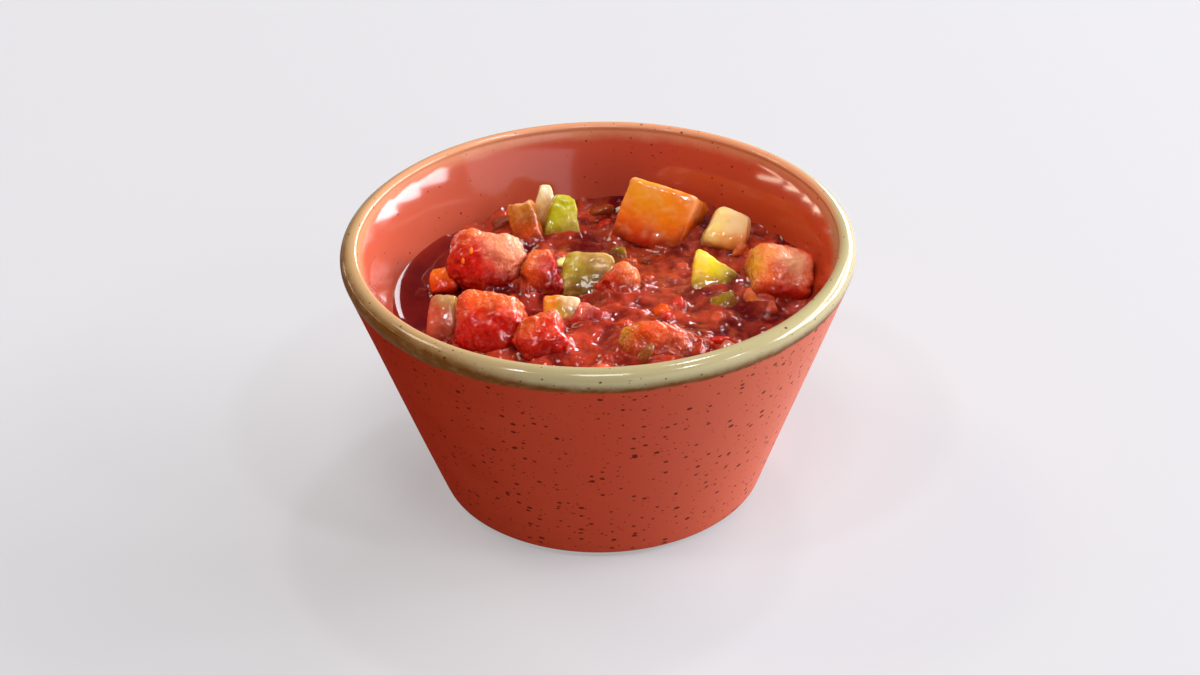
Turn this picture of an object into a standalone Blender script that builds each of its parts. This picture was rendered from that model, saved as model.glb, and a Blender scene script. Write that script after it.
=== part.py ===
"""Chunky tomato salsa in a small glazed stoneware bowl.

The bowl is turned about Z and stands on its foot ring at the origin. The sauce
fills it to an uneven level. The larger pieces of tomato, squash, pepper and
onion stand in the sauce, each a solid of its own with a narrow gap round it.
"""

import math
import random
from collections import namedtuple

import bmesh
import bpy
from mathutils import Euler, Matrix, Vector, noise

MM = 0.001

# Bowl
RIM_RADIUS = 47.0 * MM
BOWL_HEIGHT = 50.0 * MM
WALL_LEAN = math.radians(19.5)
LIP_RADIUS = 2.1 * MM
FLOOR_TOP = 6.0 * MM
FLOOR_FILLET = 8.0 * MM
FOOT_HEIGHT = 0.7 * MM
FOOT_INSET = 0.4 * MM
FOOT_WIDTH = 3.6 * MM
BASE_CORNER = 2.0 * MM
RECESS_DEPTH = 1.2 * MM
BOWL_STEPS = 64

# Sauce
SAUCE_LEVEL = 35.3 * MM
SAUCE_CROWN = 1.4 * MM
SAUCE_RISE = 2.2 * MM  # towards the right, where the pieces are piled
POOL_DIP = 2.4 * MM  # where the juice lies lowest, by the left wall
POOL_CENTRE = Vector((-33.0 * MM, -4.0 * MM))
POOL_REACH = 9.0 * MM
SWELL_LENGTH = 13.0 * MM
SWELL_HEIGHT = 0.9 * MM
PULP_LENGTH = 5.0 * MM
PULP_HEIGHT = 0.8 * MM
SAUCE_STEPS = 48
SAUCE_RINGS = 14

# Where the sauce is heaped or lies low: x, y, height and reach in mm
MOUNDS = (
    (3.0, -15.0, 2.6, 12.0),
    (16.0, -25.0, 1.8, 9.0),
    (24.0, -4.0, 1.3, 10.0),
    (36.0, -3.0, -1.5, 5.0),
    (8.0, 18.0, -1.6, 7.0),
    (-7.0, 1.5, -1.8, 5.0),
)

# Small bits: a width, a length and a thickness
SEED_SIZE = (2.6 * MM, 4.0 * MM, 1.4 * MM)
SEED_COUNT = 10
FLECK_SIZE = (2.8 * MM, 3.8 * MM, 2.0 * MM)
FLECK_COUNT = 8
BIT_CLEARANCE = 1.0 * MM
BIT_STANDS = 0.2  # how far its middle is above the sauce, as a share of its thickness
BIT_TIP = 25.0  # most that a scattered bit is tipped, in degrees
BITS_SEED = 11
NOISE_SEED = 5

GLOSS = 0.25
GAP = 0.35 * MM  # left between the sauce and the bowl
CUT_GAP = 0.6 * MM  # grown on the coarser copies of the pieces that are cut out of the sauce
CUTTER_CUTS = 2
LARGE_CUTS = 3
SMALL_CUTS = 2
LARGE_PIECE = 7.0  # longest side, in mm, above which a piece has the finer grid
ROUGH_SHARE = 0.45  # length of a lump on a piece, as a share of its width

Kind = namedtuple("Kind", "squareness wobble colour")
TOMATO = Kind(squareness=3.0, wobble=0.75 * MM, colour=(0.55, 0.035, 0.012))
SQUASH = Kind(squareness=9.0, wobble=0.18 * MM, colour=(0.85, 0.25, 0.02))
PEPPER_RED = Kind(squareness=4.0, wobble=0.35 * MM, colour=(0.6, 0.06, 0.01))
PEPPER_ORANGE = Kind(squareness=4.5, wobble=0.35 * MM, colour=(0.6, 0.17, 0.01))
PEPPER_YELLOW = Kind(squareness=4.5, wobble=0.35 * MM, colour=(0.75, 0.42, 0.03))
PEPPER_GREEN = Kind(squareness=4.5, wobble=0.35 * MM, colour=(0.42, 0.38, 0.02))
ONION = Kind(squareness=3.6, wobble=0.3 * MM, colour=(0.72, 0.45, 0.16))

KIND_NAMES = {
    TOMATO: "tomato",
    SQUASH: "squash",
    PEPPER_RED: "pepper_red",
    PEPPER_ORANGE: "pepper_orange",
    PEPPER_YELLOW: "pepper_yellow",
    PEPPER_GREEN: "pepper_green",
    ONION: "onion",
}

# A piece has a face that looks away at an azimuth from the front, an elevation
# and a roll, all in degrees. Its size in mm is width, height and thickness
# behind that face. Taper narrows it towards its upper end, bend curls it.
Piece = namedtuple("Piece", "name kind at size facing roll taper bend", defaults=(0, 0.0, 0.0))
PIECES = (
    Piece("squash_cube", SQUASH, (12.0, 26.0, 38.2), (14.4, 12.6, 9.4), (-22, 38), -8),
    Piece("onion_right", ONION, (24.6, 18.6, 39.4), (9.4, 8.6, 7.0), (10, 45), -28, 0.25),
    Piece("tomato_right", TOMATO, (33.0, 1.8, 38.6), (12.6, 12.6, 11.0), (20, 50), -20),
    Piece("pepper_yellow", PEPPER_YELLOW, (22.1, 2.4, 38.6), (10.6, 10.0, 5.4), (8, 52), -104, 0.8, 20),
    Piece("pepper_red_right", PEPPER_RED, (28.7, -4.4, 37.7), (5.6, 5.2, 4.4), (5, 55), -10),
    Piece("pepper_olive_right", PEPPER_GREEN, (23.2, -6.0, 36.8), (5.2, 6.8, 3.6), (0, 60), 20),
    Piece("tomato_left", TOMATO, (-21.0, 10.2, 38.2), (13.6, 12.2, 12.4), (0, 45), -12),
    Piece("pepper_red_left", PEPPER_RED, (-28.6, 7.6, 36.2), (5.6, 5.4, 4.4), (-10, 55), 12),
    Piece("tomato_middle", TOMATO, (-10.6, 6.4, 37.8), (9.2, 11.0, 9.0), (-5, 35), 8, 0.4),
    Piece("pepper_green_middle", PEPPER_GREEN, (-1.9, 5.2, 38.0), (9.8, 9.6, 4.4), (-6, 48), -6, 0.1, 16),
    Piece("tomato_dark", TOMATO, (3.8, 1.8, 37.2), (8.6, 8.4, 7.6), (10, 45), 10),
    Piece("pepper_orange_back", PEPPER_ORANGE, (-13.8, 25.2, 38.6), (6.0, 8.4, 4.2), (-14, 28), 22, 0.15),
    Piece("onion_back", ONION, (-10.1, 30.4, 39.6), (5.6, 8.4, 3.8), (12, 24), -8, 0.5),
    Piece("pepper_green_back", PEPPER_GREEN, (-6.8, 26.2, 39.0), (7.8, 9.4, 4.0), (14, 30), -12, 0.5),
    Piece("onion_front_left", ONION, (-28.4, -6.4, 36.6), (5.8, 9.2, 4.2), (-20, 52), 8),
    Piece("tomato_front_left", TOMATO, (-19.8, -11.2, 38.0), (12.8, 12.0, 11.0), (-8, 48), -6),
    Piece("tomato_front_middle", TOMATO, (-10.4, -17.0, 38.2), (9.8, 9.6, 9.0), (0, 50), 14),
    Piece("pepper_olive_front", PEPPER_ORANGE, (-6.9, -7.2, 38.4), (6.6, 5.2, 3.8), (0, 50), -4),
    Piece("tomato_front_pulp", TOMATO, (-1.2, -9.6, 37.0), (8.0, 6.4, 5.6), (4, 62), -24),
    Piece("tomato_front_right", TOMATO, (10.6, -20.4, 38.2), (14.6, 8.0, 8.4), (4, 50), -12),
    Piece("tomato_near_left", TOMATO, (-20.6, -26.6, 34.4), (8.6, 9.4, 8.4), (-20, 70), 30),
    Piece("pepper_green_near", PEPPER_GREEN, (-9.6, -30.6, 35.6), (7.4, 8.0, 4.2), (0, 70), 40, 0.3, 14),
    Piece("tomato_near_middle", TOMATO, (1.6, -30.6, 35.2), (11.0, 8.6, 8.6), (10, 66), -14),
    Piece("onion_near", ONION, (12.8, -31.2, 35.6), (8.0, 6.6, 4.4), (20, 66), 22),
    Piece("squash_near", SQUASH, (22.6, -24.6, 34.8), (9.0, 8.6, 7.4), (30, 74), 24),
)

# Bits that lie in the sauce at set places: x, y and turn about Z in degrees
SET_FLECKS = ((-18.4, 27.6, 60), (1.2, 31.0, 80), (11.3, -7.4, 90), (7.8, -25.4, 80), (21.4, -16.4, 60))
SET_SEEDS = ((16.0, -12.8, 40), (18.2, -17.0, 50))

# Seeds that lie on a piece: the piece, the place in mm and the turns about X, Y and Z in degrees
PIECE_SEEDS = (
    ("tomato_middle", (-7.2, 3.6, 41.6), (50, 0, 26)),
    ("tomato_left", (-22.4, 4.6, 41.6), (50, 0, 10)),
    ("tomato_left", (-24.6, 5.0, 40.6), (50, 0, -20)),
)


def clear_scene():
    """Remove every object of the open scene."""
    for old in list(bpy.data.objects):
        bpy.data.objects.remove(old, do_unlink=True)


def principled(name, colour, roughness=GLOSS):
    """A plain wet or glazed material with the given base colour."""
    material = bpy.data.materials.new(name)
    material.use_nodes = True
    shader = material.node_tree.nodes["Principled BSDF"]
    shader.inputs["Base Color"].default_value = (*colour, 1.0)
    shader.inputs["Roughness"].default_value = roughness
    shader.inputs["Metallic"].default_value = 0.0
    return material


def put_in_order(elements, place):
    """Number the elements of a bmesh by where they lie, so that every run gives the same order."""
    for index, element in enumerate(sorted(elements, key=lambda item: tuple(place(item)))):
        element.index = index
    elements.sort()


def split_into_triangles(bm):
    """Cut every face into triangles along its shorter diagonals, in an order that doesn't vary."""
    bmesh.ops.triangulate(bm, faces=bm.faces, quad_method="SHORT_EDGE")
    put_in_order(bm.verts, lambda vert: vert.co)
    put_in_order(bm.faces, lambda face: face.calc_center_median())


def add_object(name, bm, material=None):
    """Turn a bmesh into a named object of the scene, shaded smooth but for its sharp edges."""
    split_into_triangles(bm)
    mesh = bpy.data.meshes.new(name)
    bm.to_mesh(mesh)
    bm.free()
    mesh.shade_smooth()
    mesh.set_sharp_from_angle(angle=math.radians(40.0))
    if material:
        mesh.materials.append(material)
    part = bpy.data.objects.new(name, mesh)
    bpy.context.scene.collection.objects.link(part)
    return part


def arc(centre, radius, start, end, steps):
    """Points on an arc in the plane of a turned profile, its angles in radians from outward."""
    angles = [start + (end - start) * step / steps for step in range(steps + 1)]
    return [(centre[0] + radius * math.cos(a), centre[1] + radius * math.sin(a)) for a in angles]


def lip_centre():
    """Centre of the round of the lip, as radius and height."""
    return RIM_RADIUS - LIP_RADIUS, BOWL_HEIGHT - LIP_RADIUS


def wall_radius(height, side):
    """Radius of the straight wall at a height: side is 1 for its outside and -1 for its inside."""
    radius, lip_height = lip_centre()
    on_axis = radius - (lip_height - height) * math.tan(WALL_LEAN)
    return on_axis + side * LIP_RADIUS / math.cos(WALL_LEAN)


def fillet_centre(floor, radius, side):
    """Centre of a round between a level floor and the wall line on the given side."""
    height = floor + radius
    return wall_radius(height, side) - radius / math.cos(WALL_LEAN), height


def inner_radius(height):
    """Radius of the free space inside the bowl at a height."""
    centre, centre_height = fillet_centre(FLOOR_TOP, FLOOR_FILLET, -1)
    wall_end = centre_height - FLOOR_FILLET * math.sin(WALL_LEAN)
    if height >= wall_end:
        return wall_radius(height, -1)
    drop = min(FLOOR_FILLET, centre_height - height)
    return centre + math.sqrt(FLOOR_FILLET**2 - drop**2)


def turned(profile, steps):
    """A closed solid turned about Z from a profile that starts and ends on the axis."""
    bm = bmesh.new()
    verts = [bm.verts.new((radius, 0.0, height)) for radius, height in profile]
    edges = [bm.edges.new(pair) for pair in zip(verts, verts[1:])]
    bmesh.ops.spin(
        bm, geom=verts + edges, axis=(0, 0, 1), cent=(0, 0, 0), steps=steps, angle=math.tau, use_merge=True
    )
    bmesh.ops.remove_doubles(bm, verts=bm.verts, dist=1e-6)
    bmesh.ops.recalc_face_normals(bm, faces=bm.faces)
    return bm


def bowl_profile():
    """The bowl from the middle of its underside, round the lip and down to the middle of its floor."""
    corner = fillet_centre(FOOT_HEIGHT, BASE_CORNER, 1)
    hollow = fillet_centre(FLOOR_TOP, FLOOR_FILLET, -1)
    foot_outer = corner[0] - FOOT_INSET
    foot_inner = foot_outer - FOOT_WIDTH
    profile = [(0.0, RECESS_DEPTH), (foot_inner - RECESS_DEPTH, RECESS_DEPTH)]
    profile += [(foot_inner, 0.0), (foot_outer, 0.0), (foot_outer, FOOT_HEIGHT)]
    profile += arc(corner, BASE_CORNER, -math.pi / 2, -WALL_LEAN, 3)
    profile += arc(lip_centre(), LIP_RADIUS, -WALL_LEAN, math.pi - WALL_LEAN, 7)
    profile += arc(hollow, FLOOR_FILLET, -WALL_LEAN, -math.pi / 2, 4)
    profile.append((0.0, FLOOR_TOP))
    return profile


def make_bowl():
    """The glazed bowl with its rounded lip, straight leaning wall and foot ring."""
    glaze = principled("bowl_glaze", (0.42, 0.08, 0.045))
    return add_object("bowl", turned(bowl_profile(), BOWL_STEPS), glaze)


def nearness(x, y, centre, reach):
    """1 at a centre, falling off to 0 round it."""
    return math.exp(-(((Vector((x, y)) - centre).length / reach) ** 2))


def sauce_height(x, y):
    """Height of the sauce at a place: a low crown that rises to the right, with mounds and pulp in relief."""
    reach = inner_radius(SAUCE_LEVEL)
    height = SAUCE_LEVEL + SAUCE_CROWN * (1.0 - (x * x + y * y) / reach**2) + SAUCE_RISE * max(x, 0.0) / reach
    for at_x, at_y, rise, mound_reach in MOUNDS:
        height += rise * MM * nearness(x, y, Vector((at_x, at_y)) * MM, mound_reach * MM)
    pool = nearness(x, y, POOL_CENTRE, POOL_REACH)
    place = Vector((x, y, 0.0))
    swell = SWELL_HEIGHT * noise.noise(place / SWELL_LENGTH)
    pulp = PULP_HEIGHT * noise.noise(place / PULP_LENGTH)
    return height + (swell + pulp) * (1.0 - pool) - POOL_DIP * pool


def sauce_profile():
    """The sauce from the middle of its level top, out to the wall and down along it."""
    reach = inner_radius(SAUCE_LEVEL) - GAP
    profile = [(reach * ring / SAUCE_RINGS, SAUCE_LEVEL) for ring in range(SAUCE_RINGS + 1)]
    centre = fillet_centre(FLOOR_TOP, FLOOR_FILLET, -1)
    profile += arc(centre, FLOOR_FILLET - GAP, -WALL_LEAN, -math.pi / 2, 3)
    profile.append((0.0, FLOOR_TOP + GAP))
    return profile


def make_sauce():
    """The sauce before anything is cut out of it."""
    bm = turned(sauce_profile(), SAUCE_STEPS)
    reach = inner_radius(SAUCE_LEVEL) - GAP
    for vert in bm.verts:
        if vert.co.z > SAUCE_LEVEL - GAP:
            height = sauce_height(vert.co.x, vert.co.y)
            spread = (inner_radius(height) - GAP) / reach
            vert.co = Vector((vert.co.x * spread, vert.co.y * spread, height))
    return add_object("sauce", bm, principled("sauce", (0.34, 0.03, 0.015)))


def facing_matrix(facing, roll):
    """A turn whose Z looks at an azimuth from the front and an elevation, rolled about itself."""
    azimuth, elevation = (math.radians(angle) for angle in facing)
    right = Vector((math.cos(azimuth), math.sin(azimuth), 0.0))
    out = Vector((math.sin(azimuth) * math.cos(elevation), -math.cos(azimuth) * math.cos(elevation), 0.0))
    out.z = math.sin(elevation)
    turn = Matrix((right, out.cross(right), out)).transposed()
    return (turn @ Matrix.Rotation(math.radians(roll), 3, "Z")).to_4x4()


def curl(point, size, bend):
    """Bend a point of a slab of the given size about an upright line behind it."""
    if not bend:
        return point
    radius = size[0] / math.radians(bend)
    angle = point.x / radius
    across = radius + point.z
    return Vector((across * math.sin(angle), point.y, across * math.cos(angle) - radius))


def chunk(piece, seed, cuts):
    """An uneven cut piece about its own centre: a gridded cube, rounded, tapered, bent and roughened."""
    size = Vector(piece.size) * MM
    bm = bmesh.new()
    bmesh.ops.create_cube(bm, size=2.0)
    bmesh.ops.subdivide_edges(bm, edges=bm.edges, cuts=cuts, use_grid_fill=True)
    power = piece.kind.squareness
    drift = Vector((7.3, 3.1, 5.7)) * seed
    for vert in bm.verts:
        norm = sum(abs(value) ** power for value in vert.co) ** (1.0 / power)
        point = vert.co / norm
        narrow = 1.0 - piece.taper * (point.y + 1.0) / 2.0
        point = Vector((point.x * narrow * size.x, point.y * size.y, point.z * narrow * size.z)) / 2.0
        rough = noise.noise_vector(point / (size.x * ROUGH_SHARE) + drift)
        vert.co = curl(point, size, piece.bend) + piece.kind.wobble * rough
    bmesh.ops.recalc_face_normals(bm, faces=bm.faces)
    return bm


def grow(bm, distance):
    """Move every face of a mesh outwards by a distance."""
    bm.normal_update()
    places = [vert.co + vert.normal * distance * vert.calc_shell_factor() for vert in bm.verts]
    for vert, place in zip(bm.verts, places):
        vert.co = place


def press_to_wall(bm):
    """Flatten what would reach into the wall of the bowl against it, a gap away."""
    for vert in bm.verts:
        radius = vert.co.xy.length
        limit = inner_radius(vert.co.z) - GAP
        if radius > limit:
            vert.co.xy *= limit / radius


def placed_chunk(piece, seed, cuts, distance=0.0):
    """The mesh of a piece at its place in the bowl, grown by a distance."""
    bm = chunk(piece, seed, cuts)
    grow(bm, distance)
    place = Matrix.Translation(Vector(piece.at) * MM) @ facing_matrix(piece.facing, piece.roll)
    bmesh.ops.transform(bm, matrix=place, verts=bm.verts)
    return bm


def make_cutter(piece, seed, collection):
    """A coarser, grown copy of a piece, which is cut out of what the piece stands in."""
    cutter = add_object(piece.name + "_cutter", placed_chunk(piece, seed, CUTTER_CUTS, CUT_GAP))
    move_to(cutter, collection)
    cutter.hide_render = True
    cutter.display_type = "WIRE"


def move_to(part, collection):
    """Take an object out of the scene's own collection and into a working one."""
    bpy.context.scene.collection.objects.unlink(part)
    collection.objects.link(part)


def add_bit(size, place, turn, collection):
    """A seed or fleck of few sides, at a place and turn."""
    bm = bmesh.new()
    bmesh.ops.create_icosphere(bm, subdivisions=1, radius=0.5)
    bmesh.ops.scale(bm, vec=size, verts=bm.verts)
    matrix = Matrix.Translation(place) @ Euler([math.radians(angle) for angle in turn]).to_matrix().to_4x4()
    bmesh.ops.transform(bm, matrix=matrix, verts=bm.verts)
    move_to(add_object("bit", bm), collection)


def add_to_sauce(size, spot, turn, collection):
    """A bit that lies half sunk in the sauce at a spot."""
    place = Vector((*spot, sauce_height(*spot) + size[2] * BIT_STANDS))
    add_bit(size, place, turn, collection)


def scatter_bits(size, count, taken, rng, collection):
    """Bits of one size scattered over the sauce, clear of what is already there."""
    reach = inner_radius(SAUCE_LEVEL) - size[1]
    laid = 0
    while laid < count:
        angle = rng.uniform(0.0, math.tau)
        radius = reach * math.sqrt(rng.random())
        spot = Vector((radius * math.cos(angle), radius * math.sin(angle)))
        if any((spot - centre).length < clear for centre, clear in taken):
            continue
        add_to_sauce(size, spot, (rng.uniform(-BIT_TIP, BIT_TIP), 0.0, math.degrees(angle)), collection)
        taken.append((spot, size[1]))
        laid += 1


def add_bits(collection):
    """The bits seen at set spots in the sauce, and more like them between the pieces."""
    taken = [(Vector(piece.at[:2]) * MM, max(piece.size[:2]) * MM / 2 + BIT_CLEARANCE) for piece in PIECES]
    for size, spots in ((FLECK_SIZE, SET_FLECKS), (SEED_SIZE, SET_SEEDS)):
        for x, y, turn in spots:
            spot = Vector((x, y)) * MM
            add_to_sauce(size, spot, (0.0, 0.0, turn), collection)
            taken.append((spot, size[1]))
    rng = random.Random(BITS_SEED)
    scatter_bits(SEED_SIZE, SEED_COUNT, taken, rng, collection)
    scatter_bits(FLECK_SIZE, FLECK_COUNT, taken, rng, collection)


def boolean(part, operation, collection):
    """Join a part with everything in a collection, or cut it all out of the part."""
    modifier = part.modifiers.new(operation.title(), "BOOLEAN")
    modifier.operation = operation
    modifier.solver = "EXACT"
    modifier.operand_type = "COLLECTION"
    modifier.collection = collection


def islands(bm):
    """The separate bodies of a bmesh, each a set of its faces."""
    left = set(bm.faces)
    while left:
        body = {left.pop()}
        edge_of_body = list(body)
        while edge_of_body:
            face = edge_of_body.pop()
            near = {other for edge in face.edges for other in edge.link_faces} & left
            left -= near
            body |= near
            edge_of_body += near
        yield body


def apply_and_clean(part):
    """Bake a part's modifiers into its mesh and drop the loose scraps that cutting left."""
    depsgraph = bpy.context.evaluated_depsgraph_get()
    mesh = bpy.data.meshes.new_from_object(part.evaluated_get(depsgraph))
    part.modifiers.clear()
    bm = bmesh.new()
    bm.from_mesh(mesh)
    bodies = sorted(islands(bm), key=len)
    scraps = [face for body in bodies[:-1] for face in body]
    bmesh.ops.delete(bm, geom=scraps, context="FACES")
    split_into_triangles(bm)
    bm.to_mesh(mesh)
    bm.free()
    part.data = mesh


def remove_collection(collection):
    """Remove a working collection and the objects in it."""
    for helper in list(collection.objects):
        bpy.data.objects.remove(helper, do_unlink=True)
    bpy.data.collections.remove(collection)


def working_collection(name):
    """A new collection for objects that only shape others."""
    collection = bpy.data.collections.new(name)
    bpy.context.scene.collection.children.link(collection)
    return collection


def make_sauce_with_bits():
    """The sauce with its seeds and flecks fused on."""
    sauce = make_sauce()
    bits = working_collection("bits")
    add_bits(bits)
    boolean(sauce, "UNION", bits)
    apply_and_clean(sauce)
    remove_collection(bits)
    return sauce


def make_piece(piece, seed, material, cutters):
    """One piece in the bowl, with its seeds fused on, clear of the pieces already there."""
    cuts = LARGE_CUTS if max(piece.size) > LARGE_PIECE else SMALL_CUTS
    bm = placed_chunk(piece, seed, cuts)
    press_to_wall(bm)
    part = add_object(piece.name, bm, material)
    seeds = working_collection("seeds")
    for name, at, turn in PIECE_SEEDS:
        if name == piece.name:
            add_bit(SEED_SIZE, Vector(at) * MM, turn, seeds)
    if seeds.objects:
        boolean(part, "UNION", seeds)
        apply_and_clean(part)
    remove_collection(seeds)
    if cutters.objects:
        boolean(part, "DIFFERENCE", cutters)
        apply_and_clean(part)


def main():
    """Build the bowl, the sauce and every piece that stands in it."""
    clear_scene()
    noise.seed_set(NOISE_SEED)
    make_bowl()
    sauce = make_sauce_with_bits()
    materials = {kind: principled(name, kind.colour) for kind, name in KIND_NAMES.items()}
    cutters = working_collection("cutters")
    for seed, piece in enumerate(PIECES, start=1):
        make_piece(piece, seed, materials[piece.kind], cutters)
        make_cutter(piece, seed, cutters)
    boolean(sauce, "DIFFERENCE", cutters)
    apply_and_clean(sauce)
    remove_collection(cutters)


if __name__ == "__main__":
    main()
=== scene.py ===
"""Chunky pico de gallo in a small glazed stoneware bowl.

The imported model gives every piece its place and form. This script gives them
their surface: a speckled coral glaze with a sage lip on the bowl, a wet pulpy
sauce, and cut tomato, squash, pepper and onion with seeds and scraps between.
"""

import math
import random
from collections import namedtuple

import bmesh
import bpy
from bpy.props import FloatProperty, FloatVectorProperty, PointerProperty
from mathutils import Matrix, Vector, noise
from mathutils.bvhtree import BVHTree


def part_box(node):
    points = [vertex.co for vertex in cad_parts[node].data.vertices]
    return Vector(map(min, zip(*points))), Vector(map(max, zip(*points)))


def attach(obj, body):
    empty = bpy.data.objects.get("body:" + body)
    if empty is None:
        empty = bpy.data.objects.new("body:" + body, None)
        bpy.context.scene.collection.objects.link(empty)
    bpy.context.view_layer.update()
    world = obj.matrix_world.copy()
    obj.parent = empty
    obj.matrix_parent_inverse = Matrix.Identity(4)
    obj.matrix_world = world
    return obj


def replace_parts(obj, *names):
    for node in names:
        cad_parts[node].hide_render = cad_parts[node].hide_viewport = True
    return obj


bl_info = {
    "name": "Pico de gallo in a bowl",
    "version": (1, 0, 0),
    "blender": (4, 5, 0),
    "location": "3D View > Sidebar > Salsa",
    "description": "Makes a wet chunky salsa in a speckled stoneware bowl around its packed model",
    "category": "Add Mesh",
}

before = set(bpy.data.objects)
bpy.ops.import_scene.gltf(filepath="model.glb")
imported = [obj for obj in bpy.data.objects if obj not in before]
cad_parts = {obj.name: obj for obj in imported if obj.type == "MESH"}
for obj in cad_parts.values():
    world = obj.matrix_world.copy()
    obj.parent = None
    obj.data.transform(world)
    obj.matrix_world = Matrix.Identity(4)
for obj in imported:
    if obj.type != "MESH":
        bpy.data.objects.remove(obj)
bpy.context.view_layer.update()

MM = 0.001
UP = Vector((0.0, 0.0, 1.0))

# Bowl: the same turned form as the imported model, whose box gives its rim
RIM_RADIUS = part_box("bowl")[1].x
BOWL_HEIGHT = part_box("bowl")[1].z
WALL_LEAN = math.radians(19.5)
LIP_RADIUS = 2.1 * MM
FLOOR_TOP = 6.0 * MM
FLOOR_FILLET = 8.0 * MM
FOOT_HEIGHT = 0.7 * MM
FOOT_INSET = 0.4 * MM
FOOT_WIDTH = 3.6 * MM
BASE_CORNER = 2.0 * MM
RECESS_DEPTH = 1.2 * MM
BOWL_STEPS = 256
WALL_ROWS = 30
LIP_ROWS = 26
FILLET_ROWS = 12
FLOOR_ROWS = 10
RECESS_ROWS = 8
CORNER_ROWS = 8
FOOT_ROWS = 3
SHARP_ANGLE = math.radians(50.0)
FLARE_DEPTH = 7.0 * MM  # the wall opens out inside the lip, over this height
FLARE_OUT = 1.5 * MM
FLARE_START = 0.22  # share of that height over which it starts, below the lip
THROWING_LENGTH = 26.0 * MM  # slow unevenness of a turned and dipped pot
THROWING_DEPTH = 0.16 * MM
THROWING_FROM = 1.4 * MM  # the foot ring below this height stays true

# Glaze: where it changes from left to right of the axis, each from its first place to its second.
# The changes of colour are painted light and shade: shade on the left of the outside and of the sage,
# light on the right of the outside and on the left of the inside, warm bounce light on the right of
# the inside
SAGE_SHADED_LEFT = (-2.0 * MM, -38.0 * MM)
GLAZE_SHADED_LEFT = (-2.0 * MM, -44.0 * MM)
GLAZE_LIT_RIGHT = (-4.0 * MM, 48.0 * MM)
INSIDE_LIT_LEFT = (8.0 * MM, -30.0 * MM)
INSIDE_BOUNCE_RIGHT = (0.0, 40.0 * MM)
GLOSS_RETURNS = (-10.0 * MM, 44.0 * MM)
BAND_NARROWS = (-8.0 * MM, 34.0 * MM)  # the sage on the inside of the lip, from front to back
HIGHLIGHT_BELOW_LIP = (3.4 * MM, 0.6 * MM)  # depths below the rim between which the inside turns pale, a painted highlight below the lip
BAND_FADE = (0.35 * MM, -0.3 * MM)  # past the lower edge of the sage band
CREST_FADE = (-0.8 * MM, 0.4 * MM)  # past the inner edge of the sage band
WORN_EDGE = (-2.4 * MM, -0.3 * MM)  # above the lower edge of the sage band
WALL_FADE = (-0.6 * MM, 0.6 * MM)  # across the middle of the wall

# Glaze: length of an unevenness, and how far it moves the edge of a colour
WANDER = (7.0 * MM, 1.3 * MM)
RAGGED = (0.9 * MM, 0.35 * MM)
MOTTLE = (11.0 * MM, 16.0 * MM)
INWARD_WANDER = 0.8 * MM
# How much higher the olive brown edge of the lip reaches on the left: painted shade
SHADE_RISE_LEFT = 2.2 * MM
BLOTCH_LENGTH = 1.6 * MM
STREAK_LENGTH = 2.6 * MM
RIPPLE_LENGTH = 3.2 * MM
RIPPLE_DEPTH = 0.3 * MM

# Iron specks of two kinds: where the kind starts, its spacing and its size as shares of the setting
SPECKS = (((0.0, 0.0, 0.0), 1.0, 0.27), ((0.3, 0.1, 0.2), 0.6, 0.18))
SPECK_STRETCH = (0.8, 0.8, 1.2)
SPECK_JITTER = 0.5 * MM

# Sauce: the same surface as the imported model, before its fine relief
SAUCE_LEVEL = 35.3 * MM
SAUCE_CROWN = 1.4 * MM
SAUCE_RISE = 2.2 * MM
POOL_DIP = 2.4 * MM
POOL_CENTRE = Vector((-33.0 * MM, -4.0 * MM))
POOL_REACH = 9.0 * MM
POOL_WIDTH = 8.1 * MM
POOL_SAG = 0.7 * MM
POOL_END = Vector((-32.5 * MM, 18.0 * MM))
SWELL_LENGTH = 13.0 * MM
SWELL_HEIGHT = 0.9 * MM
PULP_LENGTH = 5.0 * MM
PULP_HEIGHT = 0.8 * MM
SAUCE_CELLS = 304
LUMP_BEND = 0.25  # how far the lumps of pulp are bent, as a share of their spacing
SMALL_LUMPS = 0.38  # height of lumps half as wide, as a share of the lumps
FINE_LENGTH = 0.8 * MM
DRIFT_LENGTH = 5.5 * MM  # of the slow changes of colour
SCRAP_LENGTH = 2.2 * MM  # of the brighter scraps in the pulp
SCRAP_MIX_LENGTH = 6.0 * MM
BLOB_LENGTH = 1.3 * MM  # of the unevenness of the fused bits
POOL_EDGE = (0.15, 0.5)
POOL_CLIMB = 0.75  # how much higher and wider the juice draws up at the wall
RIM_GLOW = 0.7 * MM  # width of the paler edge where the juice is thin at the wall
SEARCH_REACH = 5.0 * MM
WALL_OVERLAP = 0.25 * MM  # how far the sauce reaches into the wall, so that no gap shows
SAUCE_BOTTOM = FLOOR_TOP + 0.35 * MM
CLIMB_SHARE = 0.3  # the sauce draws up no further than this share of what a piece stands out of it

# Where the sauce is heaped or lies low: x, y, height and reach in mm
MOUNDS = (
    (3.0, -15.0, 2.6, 12.0),
    (16.0, -25.0, 1.8, 9.0),
    (24.0, -4.0, 1.3, 10.0),
    (36.0, -3.0, -1.5, 5.0),
    (8.0, 18.0, -1.6, 7.0),
    (-7.0, 1.5, -1.8, 5.0),
)

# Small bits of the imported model: a width, a length and a thickness
SEED_SIZE = (2.6 * MM, 4.0 * MM, 1.4 * MM)
SEED_COUNT = 10
FLECK_SIZE = (2.8 * MM, 3.8 * MM, 2.0 * MM)
FLECK_COUNT = 8
BIT_CLEARANCE = 1.0 * MM
BIT_SHOWS = (0.15 * MM, 0.7 * MM)  # heights between which a fused bit takes on its own colour
BITS_SEED = 11
SEED_POINT = 0.3  # how far a bit narrows towards its tip

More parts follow.
